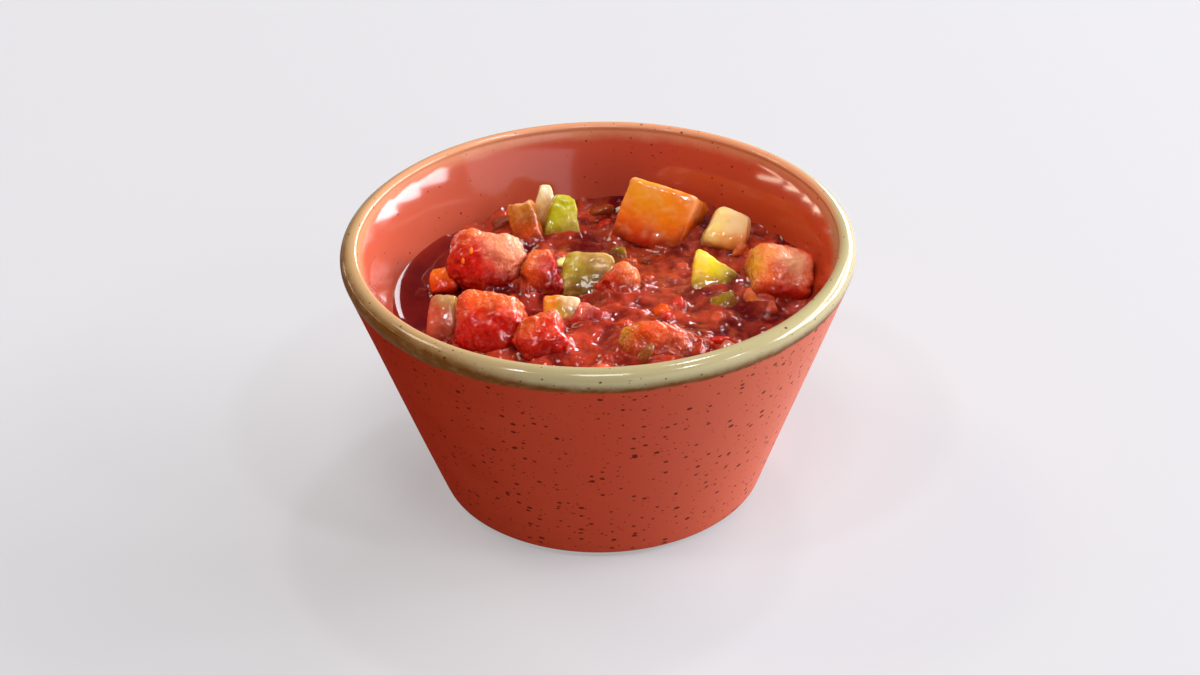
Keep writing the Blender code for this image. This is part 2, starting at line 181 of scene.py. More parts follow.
NOISE_SEED = 5
PATCH_REACH = 1.25  # how much further than its reach a patch of colour fades out
WELD = 1e-6
BIT_SQUARENESS = (2.0, 3.0)  # of seeds and of dice, as the other pairs below
BIT_ROUGHNESS = (0.1, 0.55)
BIT_SINK = (0.35, 0.5)
PIECE_DRIFT = Vector((7.3, 3.1, 5.7))  # between the unevenness of one piece and the next
RELIEF_DRIFT = Vector((11.0, 5.0, 3.0)) * MM  # the same for its lumps, folds, grain and colours
LUMP_LENGTH = 4.4 * MM
FOLD_LENGTH = 2.1 * MM
GRAIN_LENGTH = 0.8 * MM
SHAVE_FLATNESS = 0.92
COLOUR_LENGTH = 2.1 * MM  # of the wander of a patch's edge
COLOUR_WANDER = 1.2 * MM
# The film at the foot of a piece is sauce that clings to it, deep enough in colour to be painted shade as
# well
FILM_START = -0.5 * MM  # height above the sauce below which the film is whole
FILM_COVER = 0.88
ROUGH_SHARE = 0.45  # length of a lump on a piece, as a share of its width
FULL_FILM = 12.0  # size in mm of a piece from which the sauce film, also painted shade, clings to its full height

FLOOR_REACH = 6.0
LIGHT_DISTANCE = 4.0
SENSOR_WIDTH = 36.0
PICTURE_WIDTH = 1200.0
PICTURE_HEIGHT = 675.0


def screen(red, green, blue):
    """A colour as it shows on a screen, 0 to 255, in linear light."""
    values = [channel / 255.0 for channel in (red, green, blue)]
    return tuple(v / 12.92 if v <= 0.04045 else ((v + 0.055) / 1.055) ** 2.4 for v in values)


# Colours of the food
DEEP_RED = screen(142, 4, 2)
CRIMSON = screen(196, 12, 4)
SCARLET = screen(224, 34, 8)
CORAL = screen(238, 104, 62)
BLUSH = screen(240, 158, 138)
ORANGE_RED = screen(240, 84, 8)
ORANGE = screen(250, 128, 4)
AMBER = screen(252, 172, 40)
PEACH = screen(250, 196, 146)
CREAM = screen(252, 236, 198)
BUTTER = screen(252, 220, 128)
LEMON = screen(250, 206, 24)
LIME = screen(190, 188, 6)
OLIVE = screen(166, 148, 14)
TAN = screen(196, 130, 78)
BROWN = screen(146, 74, 20)
CARROT = screen(255, 136, 0)
TANGERINE = screen(250, 96, 30)
VERMILION = screen(236, 70, 24)
RUBY = screen(200, 24, 6)
CARMINE = screen(190, 22, 6)
BRICK = screen(190, 26, 8)
SUNFLOWER = screen(255, 234, 36)
KHAKI = screen(158, 118, 30)
OCHRE = screen(196, 98, 14)
FAWN = screen(186, 116, 78)

# How a kind of flesh looks: how deep light scatters in it in mm and how much of it does, its
# roughness, the strength of its bumps, how much its colour varies, how grainy it is where it is
# pale, with painted glints on the grains, and how its fine grain is stretched
Finish = namedtuple(
    "Finish", "depth scatter roughness bump variety frost fibre", defaults=((1.0, 1.0, 1.0),))
PEPPER_FINISH = Finish(1.4, 0.25, 0.12, 0.4, 0.35, 0.3, (1.0, 1.0, 0.7))

# A kind of flesh. Squareness and wobble, in mm, are those of the imported model, and shaves are flat
# cuts up to a depth in mm. Lumps, folds and grain are depths in mm. Edge is how pale its ridges and its
# upturned tops are, the tops as painted light, and the next field is how much painted shade, in the colour
# of the film, darkens the sides that look down or away
Flesh = namedtuple(
    "Flesh", "slot squareness wobble shaves shave_depth lumps folds grain edge_colour edge stain finish")
TOMATO = Flesh(
    "tomato", 3.3, 0.75, 4, 0.8, 0.9, 0.34, 0.1, CORAL, 0.3, 0.7, Finish(1.6, 0.55, 0.15, 0.75, 0.3, 1.0))
SQUASH = Flesh(
    "squash", 13.0, 0.18, 0, 0.0, 0.2, 0.08, 0.03, PEACH, 0.6, 0.25,
    Finish(2.4, 0.4, 0.15, 0.2, 0.14, 0.12))
PEPPER_RED = Flesh("pepper_red", 5.0, 0.35, 3, 0.5, 0.3, 0.18, 0.05, CORAL, 0.5, 0.5, PEPPER_FINISH)
PEPPER_ORANGE = Flesh(
    "pepper_orange", 6.0, 0.35, 2, 0.4, 0.3, 0.18, 0.05, PEACH, 0.5, 0.35, PEPPER_FINISH)
PEPPER_YELLOW = Flesh(
    "pepper_yellow", 7.0, 0.35, 1, 0.3, 0.26, 0.2, 0.05, BUTTER, 0.6, 0.2, PEPPER_FINISH)
PEPPER_GREEN = Flesh(
    "pepper_green", 7.0, 0.35, 2, 0.4, 0.3, 0.16, 0.05, BUTTER, 0.35, 0.25, PEPPER_FINISH)
ONION = Flesh(
    "onion", 4.4, 0.3, 2, 0.5, 0.3, 0.1, 0.04, CREAM, 0.2, 0.2,
    Finish(3.0, 0.4, 0.1, 0.25, 0.2, 0.2, (1.0, 1.0, 0.4)))

# A patch of colour on a piece: its middle, as shares of half the piece's box (across, deep with
# the front at -1, and up), how far it reaches in mm, its colour and how much of it shows
Patch = namedtuple("Patch", "at reach colour strength", defaults=(1.0,))

# A piece has a face that looks away at an azimuth from the front, an elevation and a roll, all in
# degrees. Its size in mm is width, height and thickness behind that face. Taper narrows it towards
# its upper end, bend curls it
Piece = namedtuple("Piece", "flesh at size facing roll colour patches taper bend", defaults=(0.0, 0))
# Beside each piece's own colours, the pale patches high on its right are painted highlights, and the deep
# red and dark olive patches low on its front are painted shade
PIECES = {
    "squash_cube": Piece(SQUASH, (12.0, 26.0, 38.2), (14.4, 12.6, 9.4), (-22, 38), -8, CARROT, (
        Patch((-0.3, 0.1, 0.9), 5.0, AMBER, 0.7),
        Patch((-0.9, -0.5, 0.0), 4.4, ORANGE_RED, 0.9),
        Patch((-0.3, -0.9, -0.3), 4.4, SCARLET, 0.95),
        # Painted glint on the right edge
        Patch((0.9, -0.5, 0.6), 2.4, PEACH, 0.7),
        Patch((0.6, -0.8, -0.1), 3.4, ORANGE_RED, 0.7),
    )),
    "onion_right": Piece(ONION, (24.6, 18.6, 39.4), (9.4, 8.6, 7.0), (10, 45), -28, BUTTER, (
        Patch((-0.5, -0.2, 0.7), 3.0, BUTTER, 0.8),
        Patch((0.5, 0.0, 0.7), 3.2, PEACH, 0.7),
        Patch((0.0, -0.9, -0.3), 3.0, ORANGE, 0.8),
        Patch((0.7, -0.7, -0.2), 2.4, ORANGE_RED, 0.7),
    ), taper=0.25),
    "tomato_right": Piece(TOMATO, (33.0, 1.8, 38.6), (12.6, 12.6, 11.0), (20, 50), -20, VERMILION, (
        Patch((-0.7, -0.2, 0.6), 3.4, screen(255, 178, 50), 1.0),
        Patch((0.0, 0.5, 0.9), 3.4, screen(240, 116, 50), 0.8),
        # Painted highlight
        Patch((0.4, -0.3, 0.7), 3.2, screen(255, 192, 146), 0.95),
        Patch((-0.1, -0.4, 0.5), 2.0, screen(240, 84, 16), 0.85),
        # Painted shade low at the front
        Patch((0.2, -0.9, -0.2), 4.4, screen(184, 8, 2), 0.95),
    )),
    "pepper_yellow": Piece(PEPPER_YELLOW, (22.1, 2.4, 38.6), (10.6, 10.0, 5.4), (8, 52), -104, SUNFLOWER, (
        Patch((-0.8, 0.0, 0.5), 1.8, ORANGE, 0.5),
        Patch((-0.4, -0.5, 0.1), 2.0, AMBER, 0.4),
        Patch((0.9, -0.5, -0.1), 3.0, OLIVE, 0.9),
        Patch((-0.3, -0.9, -0.6), 2.0, ORANGE_RED, 0.4),
    ), taper=0.8, bend=20),
    "pepper_red_right": Piece(PEPPER_RED, (28.7, -4.4, 37.7), (5.6, 5.2, 4.4), (5, 55), -10, ORANGE_RED, (
        Patch((0.3, 0.0, 0.8), 2.2, screen(250, 150, 100), 0.9),
        Patch((-0.5, -0.8, 0.0), 2.0, ORANGE, 0.6),
    )),
    "pepper_olive_right": Piece(PEPPER_GREEN, (23.2, -6.0, 36.8), (5.2, 6.8, 3.6), (0, 60), 20, BROWN, (
        Patch((-0.2, 0.0, 0.8), 2.0, OLIVE, 0.9),
        Patch((0.5, -0.6, 0.2), 2.0, TAN, 0.7),
    )),
    "tomato_left": Piece(TOMATO, (-21.0, 10.2, 38.2), (13.6, 12.2, 12.4), (0, 45), -12, RUBY, (
        Patch((-0.1, 0.5, 0.9), 4.2, screen(240, 122, 52), 0.95),
        Patch((-0.9, 0.1, 0.4), 3.0, screen(234, 104, 34), 0.85),
        # Painted highlight
        Patch((0.6, -0.2, 0.8), 4.2, screen(255, 172, 130), 0.92),
        Patch((-0.4, -0.5, 0.4), 3.2, screen(204, 8, 0), 1.0),
        # Painted shade low at the front
        Patch((0.3, -0.9, -0.3), 3.4, DEEP_RED, 0.9),
    )),
    "pepper_red_left": Piece(PEPPER_RED, (-28.6, 7.6, 36.2), (5.6, 5.4, 4.4), (-10, 55), 12, ORANGE_RED, (
        Patch((-0.2, 0.1, 0.8), 2.2, ORANGE, 0.9),
        Patch((0.2, -0.8, 0.0), 2.4, CRIMSON, 0.9),
    )),
    "tomato_middle": Piece(TOMATO, (-10.6, 6.4, 37.8), (9.2, 11.0, 9.0), (-5, 35), 8, DEEP_RED, (
        Patch((-0.4, 0.1, 0.9), 3.2, screen(248, 134, 52), 0.95),
        Patch((0.4, -0.2, 0.5), 3.4, screen(190, 6, 2), 0.95),
        # Painted shade low at the front
        Patch((0.4, -0.8, 0.0), 3.6, DEEP_RED, 0.9),
        Patch((-0.6, -0.5, 0.3), 2.4, ORANGE_RED, 0.7),
    ), taper=0.4),
    "pepper_green_middle": Piece(PEPPER_GREEN, (-1.9, 5.2, 38.0), (9.8, 9.6, 4.4), (-6, 48), -6, KHAKI, (
        Patch((0.3, 0.6, 0.9), 2.8, screen(214, 166, 96), 0.7),
        Patch((-0.6, 0.1, 0.6), 2.6, screen(184, 164, 20), 0.8),
        Patch((0.5, -0.2, 0.4), 1.8, screen(206, 178, 140), 0.5),
        Patch((0.1, -0.8, 0.0), 3.4, screen(96, 96, 14), 0.9),
    ), taper=0.1, bend=16),
    "tomato_dark": Piece(TOMATO, (3.8, 1.8, 37.2), (8.6, 8.4, 7.6), (10, 45), 10, SCARLET, (
        Patch((0.3, -0.3, 0.6), 3.8, screen(255, 142, 72), 0.95),
        # Painted highlight on the upper ridge
        Patch((0.7, 0.4, 0.8), 2.0, screen(246, 150, 116), 0.7),
        Patch((-0.3, -0.5, 0.3), 3.4, CRIMSON, 0.9),
        # Painted shade low at the front
        Patch((0.0, -0.9, -0.3), 3.0, DEEP_RED, 0.7),
    )),
    "pepper_orange_back": Piece(PEPPER_ORANGE, (-13.8, 25.2, 38.6), (6.0, 8.4, 4.2), (-14, 28), 22, OCHRE, (
        Patch((-0.3, 0.0, 0.9), 2.2, screen(226, 150, 60), 0.8),
        Patch((0.3, -0.5, 0.2), 2.6, BROWN, 0.8),
        Patch((0.2, -0.9, -0.5), 3.0, ORANGE_RED, 0.8),
    ), taper=0.15),
    "onion_back": Piece(ONION, (-10.1, 30.4, 39.6), (5.6, 8.4, 3.8), (12, 24), -8, BUTTER, (
        Patch((-0.5, 0.0, 0.5), 2.6, BUTTER, 0.9),
        Patch((0.6, 0.0, 0.7), 2.4, CREAM, 0.9),
        Patch((0.0, -0.6, -0.2), 2.6, screen(214, 138, 64), 0.8),
    ), taper=0.5),
    "pepper_green_back": Piece(PEPPER_GREEN, (-6.8, 26.2, 39.0), (7.8, 9.4, 4.0), (14, 30), -12, LIME, (
        Patch((-0.6, -0.2, 0.3), 2.2, OLIVE, 0.8),
        Patch((0.1, -0.4, 0.4), 2.2, LIME, 1.0),
        Patch((0.7, -0.3, 0.2), 2.0, BUTTER, 0.5),
        Patch((0.0, -0.9, -0.7), 2.6, OLIVE, 0.8),
    ), taper=0.5),
    "onion_front_left": Piece(ONION, (-28.4, -6.4, 36.6), (5.8, 9.2, 4.2), (-20, 52), 8, FAWN, (
        Patch((0.4, 0.4, 0.8), 2.2, OLIVE, 0.5),
        Patch((-0.8, 0.0, 0.2), 2.4, CRIMSON, 0.6),
        Patch((-0.2, -0.6, 0.0), 3.0, SCARLET, 0.3),
    )),
    "tomato_front_left": Piece(TOMATO, (-19.8, -11.2, 38.0), (12.8, 12.0, 11.0), (-8, 48), -6, CARMINE, (
        Patch((-0.1, 0.3, 0.9), 3.8, screen(234, 98, 28), 0.95),
        Patch((0.7, 0.2, 0.8), 3.2, screen(238, 128, 74), 0.85),
        Patch((-0.8, 0.1, 0.5), 2.4, screen(222, 88, 30), 0.7),
        Patch((0.0, -0.6, 0.2), 4.2, screen(190, 10, 2), 0.95),
    )),
    "tomato_front_middle": Piece(TOMATO, (-10.4, -17.0, 38.2), (9.8, 9.6, 9.0), (0, 50), 14, BRICK, (
        Patch((-0.4, 0.2, 0.9), 3.4, screen(224, 96, 30), 0.9),
        Patch((0.5, -0.3, 0.6), 3.2, CRIMSON, 0.85),
        Patch((0.6, 0.5, 0.8), 2.2, screen(230, 120, 84), 0.6),
        # Painted shade low at the front
        Patch((0.0, -0.9, -0.1), 3.2, DEEP_RED, 0.7),
    )),
    "pepper_olive_front": Piece(PEPPER_ORANGE, (-6.9, -7.2, 38.4), (6.6, 5.2, 3.8), (0, 50), -4, AMBER, (
        Patch((-0.4, 0.0, 0.7), 2.2, ORANGE, 0.8),
        Patch((0.7, 0.0, 0.7), 1.8, CREAM, 0.8),
        Patch((0.0, -0.7, 0.2), 2.0, OLIVE, 0.6),
    )),
    "tomato_front_pulp": Piece(TOMATO, (-1.2, -9.6, 37.0), (8.0, 6.4, 5.6), (4, 62), -24, SCARLET, (
        Patch((0.0, 0.1, 0.9), 2.6, BLUSH, 0.5),
        Patch((0.4, -0.6, 0.3), 2.6, CRIMSON, 0.9),
    )),
    "tomato_front_right": Piece(TOMATO, (10.6, -20.4, 38.2), (14.6, 8.0, 8.4), (4, 50), -12, TANGERINE, (
        Patch((-0.9, 0.3, 0.8), 3.4, LEMON, 0.95),
        Patch((-0.4, 0.4, 0.9), 1.8, AMBER, 0.9),
        Patch((-0.2, -0.1, 0.8), 3.6, ORANGE_RED, 0.95),
        Patch((0.5, -0.4, 0.5), 4.0, screen(255, 108, 56), 0.9),
        Patch((0.7, 0.2, 0.8), 1.8, BLUSH, 0.6),
    )),
    "tomato_near_left": Piece(TOMATO, (-20.6, -26.6, 34.4), (8.6, 9.4, 8.4), (-20, 70), 30, SCARLET, (
        Patch((0.0, 0.3, 0.8), 3.6, ORANGE_RED, 0.8),
        Patch((0.5, -0.5, 0.3), 3.2, CRIMSON, 0.8),
    )),
    "pepper_green_near": Piece(PEPPER_GREEN, (-9.6, -30.6, 35.6), (7.4, 8.0, 4.2), (0, 70), 40, OLIVE, (
        Patch((0.3, 0.2, 0.8), 2.8, LIME, 0.8),
        Patch((-0.6, -0.2, 0.4), 2.4, LEMON, 0.5),
    ), taper=0.3, bend=14),
    "tomato_near_middle": Piece(TOMATO, (1.6, -30.6, 35.2), (11.0, 8.6, 8.6), (10, 66), -14, CRIMSON, (
        Patch((-0.3, 0.2, 0.8), 3.4, CORAL, 0.7),
        Patch((0.5, 0.0, 0.6), 3.2, SCARLET, 0.8),
    )),
    "onion_near": Piece(ONION, (12.8, -31.2, 35.6), (8.0, 6.6, 4.4), (20, 66), 22, BUTTER, (
        Patch((0.2, 0.2, 0.8), 2.8, CREAM, 0.7),
        Patch((-0.4, -0.6, 0.0), 2.8, ORANGE, 0.6),
    )),
    "squash_near": Piece(SQUASH, (22.6, -24.6, 34.8), (9.0, 8.6, 7.4), (30, 74), 24, ORANGE_RED, (
        Patch((0.0, 0.2, 0.9), 2.8, SCARLET, 0.7),
        Patch((0.3, -0.8, -0.2), 3.4, SCARLET, 0.7),
    )),
}

# Tones of the sauce: the middle of each in mm, how far it reaches in mm, its colour and how much of
# it shows
Tone = namedtuple("Tone", "x y reach colour strength")
# The dark tones in the gaps between the pieces, at (-14, -3.5), (-27, 2), (-4, -2) and (1, 17), are painted
# shade
SAUCE_TONES = (
    Tone(-14.0, -3.5, 5.0, screen(116, 6, 10), 0.85),
    Tone(-27.0, 2.0, 5.0, screen(116, 6, 12), 0.8),
    Tone(-4.0, -2.0, 4.0, screen(130, 8, 8), 0.7),
    Tone(2.0, -17.0, 11.0, screen(192, 58, 32), 0.75),
    Tone(13.0, 3.0, 8.0, screen(196, 80, 56), 0.75),
    Tone(1.0, 17.0, 9.0, screen(100, 14, 8), 0.9),
    Tone(30.0, -15.0, 7.0, screen(112, 14, 18), 0.8),
    Tone(36.0, 8.0, 6.0, screen(128, 16, 8), 0.8),
    Tone(24.0, 27.0, 7.0, screen(120, 22, 8), 0.8),
    Tone(-26.0, 20.0, 6.0, screen(156, 64, 46), 0.6),
    Tone(5.0, 14.0, 3.4, screen(150, 96, 30), 0.6),
)

# Bits seen in the picture: the pixel of its middle, its width, length and thickness in mm, its turn
# in degrees from across the picture, and its colour
Bit = namedtuple("Bit", "pixel size turn colour")
SEEN_SEEDS = (
    Bit((561, 263), (2.0, 3.9, 1.3), 62, BUTTER),
    Bit((471, 251), (0.9, 1.5, 0.6), 80, ORANGE),
    Bit((463, 261), (0.8, 1.4, 0.6), 60, ORANGE),
)
SEEN_BITS = (
    Bit((662, 312), (2.8, 3.2, 2.2), 20, ORANGE_RED),
    Bit((720, 342), (2.6, 3.8, 2.2), -20, SCARLET),
    Bit((646, 355), (2.6, 4.6, 2.0), 12, screen(150, 84, 22)),
    Bit((740, 251), (2.0, 3.0, 2.0), 20, screen(214, 104, 44)),
    Bit((505, 223), (3.0, 5.0, 2.6), 10, screen(158, 76, 50)),
    Bit((603, 211), (2.6, 5.4, 2.4), 8, screen(160, 66, 20)),
)
SEED_FINISH = Finish(1.0, 0.3, 0.1, 0.3, 0.1, 0.0)
DICE_FINISH = Finish(1.4, 0.3, 0.1, 0.7, 0.3, 0.5)

# Wet food: what its shader has all over, and the lengths and the depth of its unevenness
WET_FILM = {"Specular_IOR_Level": 0.1, "Coat_Roughness": 0.05, "Coat_IOR": 1.45}
Skin = namedtuple("Skin", "film fine pimples depth")
FLESH_SKIN = Skin(3.4 * MM, 0.9 * MM, 1.1 * MM, 0.25 * MM)
SAUCE_SKIN = Skin(4.6 * MM, 1.0 * MM, 1.2 * MM, 0.3 * MM)
BROAD_LENGTH = 1.9 * MM
GRAIN_CELL = 0.5 * MM
GRAIN_BREAK = 0.4 * MM

# Lights: azimuth and elevation in degrees, width and height in metres, the setting that holds the
# power, the share of it, and the colour. The strips are the thin streaks on the glaze of the right
# wall, the windows those on the left wall, and the lamps the sparkle on wet food
NEUTRAL = (1.0, 0.99, 0.98)
COOL = (0.95, 0.94, 1.0)
WARM = (1.0, 0.84, 0.62)
Light = namedtuple("Light", "azimuth elevation width height setting share colour")
LIGHTS = {
    "ceiling": Light(-90.0, 70.0, 1.0, 1.0, "ceiling", 1.0, NEUTRAL),
    "front_window": Light(-50.0, 16.0, 4.0, 2.2, "window", 0.7, COOL),
    "left_window": Light(150.0, 50.0, 1.2, 0.8, "left", 1.0, WARM),
    "strip_0": Light(177.0, 16.0, 1.0, 0.14, "window", 0.15, WARM),
    "strip_1": Light(162.0, 13.0, 0.7, 0.14, "window", 0.105, WARM),
    "strip_2": Light(151.0, 9.0, 0.5, 0.14, "window", 0.075, WARM),
    "strip_3": Light(142.0, 5.0, 0.5, 0.14, "window", 0.075, WARM),
    "strip_4": Light(133.0, 2.5, 0.4, 0.14, "window", 0.06, WARM),
    "window_0": Light(-1.0, 23.0, 1.15, 0.95, "window", 1.0, COOL),
    "window_1": Light(15.0, 17.0, 1.15, 0.95, "window", 1.1, COOL),
    "window_2": Light(31.0, 11.0, 1.15, 0.95, "window", 1.0, COOL),
    "window_3": Light(48.0, 13.0, 1.15, 0.95, "window", 0.9, COOL),
    "window_4": Light(66.0, 15.0, 1.15, 0.95, "window", 0.9, COOL),
    "lamp_0": Light(-142.0, 60.0, 0.3, 0.3, "lamp", 1.0, COOL),
    "lamp_1": Light(-38.0, 56.0, 0.3, 0.3, "lamp", 1.0, COOL),
    "lamp_2": Light(62.0, 64.0, 0.3, 0.3, "lamp", 1.0, COOL),
    "high_window": Light(30.0, 31.0, 3.8, 0.6, "window", 1.2, COOL),
    "small_window": Light(-27.0, 33.0, 0.4, 0.34, "window", 0.2, COOL),
}


def tint(name, description, default):
    """A colour that a user may change."""
    return FloatVectorProperty(
        name=name, description=description, subtype="COLOR", size=3, min=0.0, max=1.0, default=default)


def span(name, description, default, least=0.0):
    """A length that a user may change."""
    return FloatProperty(name=name, description=description, default=default, min=least, unit="LENGTH")


def level(name, description, default):
    """A power or a strength that a user may change."""
    return FloatProperty(name=name, description=description, default=default, min=0.0)


class BowlSettings(bpy.types.PropertyGroup):
    """Glaze of the bowl."""

    glaze: tint("Glaze", "Coral glaze of the walls", screen(188, 70, 46))
    # Painted light and shade: the next colour is painted shade on the left of the outside, and the one after
    # it is painted light on the right of the outside and, mixed with the first, on the left of the inside
    shaded_glaze: tint("Deep glaze", "Where the coral glaze lies thicker", screen(158, 36, 8))
    lit_glaze: tint("Thin glaze", "Paler coral where the glaze lies thin, as on the inside", screen(204, 108, 82))
    lip: tint("Lip", "Sage glaze on the crest of the lip", screen(178, 166, 122))
    lip_edge: tint("Lip edge", "Olive brown where the sage breaks into the coral", screen(112, 64, 14))
    speck: tint("Specks", "Iron specks in the glaze", screen(84, 24, 14))
    clay: tint("Clay", "Bare stoneware of the foot", screen(214, 204, 188))
    band_outside: span("Band outside", "Height of the sage band on the outside of the lip", 3.9 * MM)
    band_inside: span("Band inside", "How far the sage band reaches in from the crest of the lip", 1.6 * MM)
    speck_spacing: span(
        "Speck spacing", "Distance between iron specks in the depth of the glaze", 1.5 * MM, 0.1 * MM)


class SauceSettings(bpy.types.PropertyGroup):
    """The wet sauce."""

    pulp: tint("Pulp", "Lighter pulp on the crests of the sauce", screen(190, 66, 38))
    deep: tint("Depth", "Clear dark sauce in the hollows", screen(98, 2, 6))
    juice: tint("Juice", "Thin juice by the left wall", screen(108, 6, 8))
    lump_spacing: span("Lump spacing", "Distance between the soft lumps of pulp", 3.8 * MM, 0.5 * MM)
    lump_height: span("Lump height", "Height of the soft lumps of pulp", 0.68 * MM)
    relief: span("Relief", "Height of the finer relief", 0.07 * MM)
    climb: span("Climb", "How far the sauce draws up against what stands in it", 1.5 * MM)
    climb_reach: span("Climb reach", "How far away the sauce starts to draw up", 1.4 * MM, 0.1 * MM)


class PieceSettings(bpy.types.PropertyGroup):
    """The cut pieces."""

    spacing: span("Spacing", "Distance between the points of a piece's mesh", 0.3 * MM, 0.1 * MM)
    # The film is sauce at the foot of a piece, and also painted shade there and on the sides that look down
    # or away; its height is how far up the film and its painted shade reach
    film: tint("Film", "Sauce that clings to the foot of a piece", screen(112, 4, 5))
    film_and_shade_height: span("Film height", "How far up a large piece the sauce clings", 5.2 * MM)


class StageSettings(bpy.types.PropertyGroup):
    """Floor, lights and camera."""

    floor: tint("Floor", "Pale ground", (0.33, 0.33, 0.338))
    glow: level("Glow", "Even light given off by the floor", 0.31)
    sky: level("Sky", "Strength of the even light from all round", 0.1)
    ceiling: level("Ceiling", "Power of the soft light overhead, in watts", 37.0)
    window: level("Window", "Power of a window on the right, in watts, shared by the strips", 54.0)
    left: level("Left window", "Power of the warm light high on the left, in watts", 28.0)
    lamp: level("Lamps", "Power of each small bright lamp overhead, in watts", 20.0)
    focal: FloatProperty(
        name="Focal length", description="Focal length in pixels of the 1200 pixel wide picture",
        default=2574.0, min=1.0)
    distance: span("Distance", "Level distance from the bowl's axis to the camera", 0.4059, 0.01)
    height: span("Height", "Height of the camera above the ground", 0.2812)
    aim: span("Aim", "Height on the bowl's axis that the camera looks at", 0.02826)
    roll: FloatProperty(
        name="Roll", description="Turn of the camera about its line of sight",
        default=math.radians(-1.225), unit="ROTATION")


class SalsaSettings(bpy.types.PropertyGroup):
    """Everything a user may change."""

    bowl: PointerProperty(type=BowlSettings)
    sauce: PointerProperty(type=SauceSettings)
    pieces: PointerProperty(type=PieceSettings)
    stage: PointerProperty(type=StageSettings)


class Wire:
    """A socket of a material that takes part in sums, with numbers or with other sockets."""

    def __init__(self, graph, socket):
        self.graph = graph
        self.socket = socket

    def __add__(self, other):
        return self.graph.math("ADD", self, other)

    def __sub__(self, other):
        return self.graph.math("SUBTRACT", self, other)

    def __rsub__(self, other):
        return self.graph.math("SUBTRACT", other, self)

    def __mul__(self, other):
        return self.graph.math("MULTIPLY", self, other)

    __radd__ = __add__
    __rmul__ = __mul__


class Graph:
    """The nodes of a material or of the sky."""

    def __init__(self, owner, shader):
        owner.use_nodes = True
        self.owner = owner
        self.tree = owner.node_tree
        self.shader = self.tree.nodes[shader]

    def join(self, socket, value):
        if isinstance(value, Wire):
            self.tree.links.new(value.socket, socket)
        elif hasattr(value, "__len__") and len(value) == 3 and socket.type == "RGBA":
            socket.default_value = (*value, 1.0)
        else:
            socket.default_value = value

    def feed(self, **values):
        """Set or link sockets of the shader itself."""
        for name, value in values.items():
            self.join(self.shader.inputs[name.replace("_", " ")], value)

    def add(self, kind, settings=None, inputs=None, output=0):
        """Any node: its type, its settings, and the values or links of its sockets."""
        node = self.tree.nodes.new(kind)
        for name, value in (settings or {}).items():
            setattr(node, name, value)
        for key, value in (inputs or {}).items():
            self.join(node.inputs[key], value)
        return Wire(self, node.outputs[output])

    def math(self, operation, first, second):
        return self.add("ShaderNodeMath", {"operation": operation}, {0: first, 1: second})

    def vector(self, operation, first, second, third=(0.0, 0.0, 0.0), output=0):
        settings = {"operation": operation}
        return self.add("ShaderNodeVectorMath", settings, {0: first, 1: second, 2: third}, output)

    def clamp(self, value):
        return self.add("ShaderNodeClamp", None, {"Value": value})

    def step(self, value, low, high):
        """0 below low, 1 above high and smooth between; low may be above high."""
        ends = {"Value": value, "From Min": low, "From Max": high}
        return self.add("ShaderNodeMapRange", {"interpolation_type": "SMOOTHSTEP"}, ends)

    def mix(self, first, second, share):
        """A colour that goes from the first to the second as share goes from 0 to 1."""
        return self.add("ShaderNodeMix", {"data_type": "RGBA"}, {0: share, 6: first, 7: second}, 2)

    def place(self):
        return self.add("ShaderNodeTexCoord", output="Object")

    def axis(self, place, index):
        return self.add("ShaderNodeSeparateXYZ", None, {0: place}, index)

    def noise(self, place, length, detail=2.0, roughness=0.5):
        """Soft noise from 0 to 1 whose lumps are about a length across."""
        inputs = {"Vector": place, "Scale": 1.0 / length, "Detail": detail, "Roughness": roughness}
        return self.add("ShaderNodeTexNoise", None, inputs)

    def cells(self, place, length, output="Distance", feature="F1"):
        """Distance to the nearest of scattered points a length apart, or a random colour for each."""
        inputs = {"Vector": place, "Scale": 1.0 / length, "Randomness": 1.0}
        return self.add("ShaderNodeTexVoronoi", {"feature": feature}, inputs, output)

    def attribute(self, name, output=0):
        return self.add("ShaderNodeAttribute", {"attribute_name": name}, output=output)

    def bump(self, height, strength, distance):
        inputs = {"Height": height, "Strength": strength, "Distance": distance}
        return self.add("ShaderNodeBump", None, inputs)


def new_material(name, **constants):
    """A material's graph, with constants set on its shader."""
    graph = Graph(bpy.data.materials.new(name), "Principled BSDF")
    graph.feed(**constants)
    return graph


def smoothstep(value, low, high):
    """0 at low and 1 at high, smooth between."""
    share = min(1.0, max(0.0, (value - low) / (high - low)))
    return share * share * (3.0 - 2.0 * share)


def lip_centre():
    """Centre of the round of the lip, as radius and height."""
    return RIM_RADIUS - LIP_RADIUS, BOWL_HEIGHT - LIP_RADIUS


def wall_radius(height, side):
    """Radius of the straight wall at a height: side is 1 for its outside and -1 for its inside."""
    radius, lip_height = lip_centre()
    return radius - (lip_height - height) * math.tan(WALL_LEAN) + side * LIP_RADIUS / math.cos(WALL_LEAN)


def fillet_centre(floor, radius, side):
    """Centre of a round between a level floor and the wall line on the given side."""
    height = floor + radius
    return wall_radius(height, side) - radius / math.cos(WALL_LEAN), height


def inner_radius(height):
    """Radius of the free space inside the bowl at a height."""
    centre, centre_height = fillet_centre(FLOOR_TOP, FLOOR_FILLET, -1)
    if height >= centre_height - FLOOR_FILLET * math.sin(WALL_LEAN):
        return wall_radius(height, -1)
    drop = min(FLOOR_FILLET, centre_height - height)
    return centre + math.sqrt(FLOOR_FILLET**2 - drop**2)


def arc(centre, radius, start, end, rows):
    """Points on an arc of a turned profile, its angles from outward."""
    angles = [start + (end - start) * row / rows for row in range(rows + 1)]
    return [(centre[0] + radius * math.cos(a), centre[1] + radius * math.sin(a)) for a in angles]


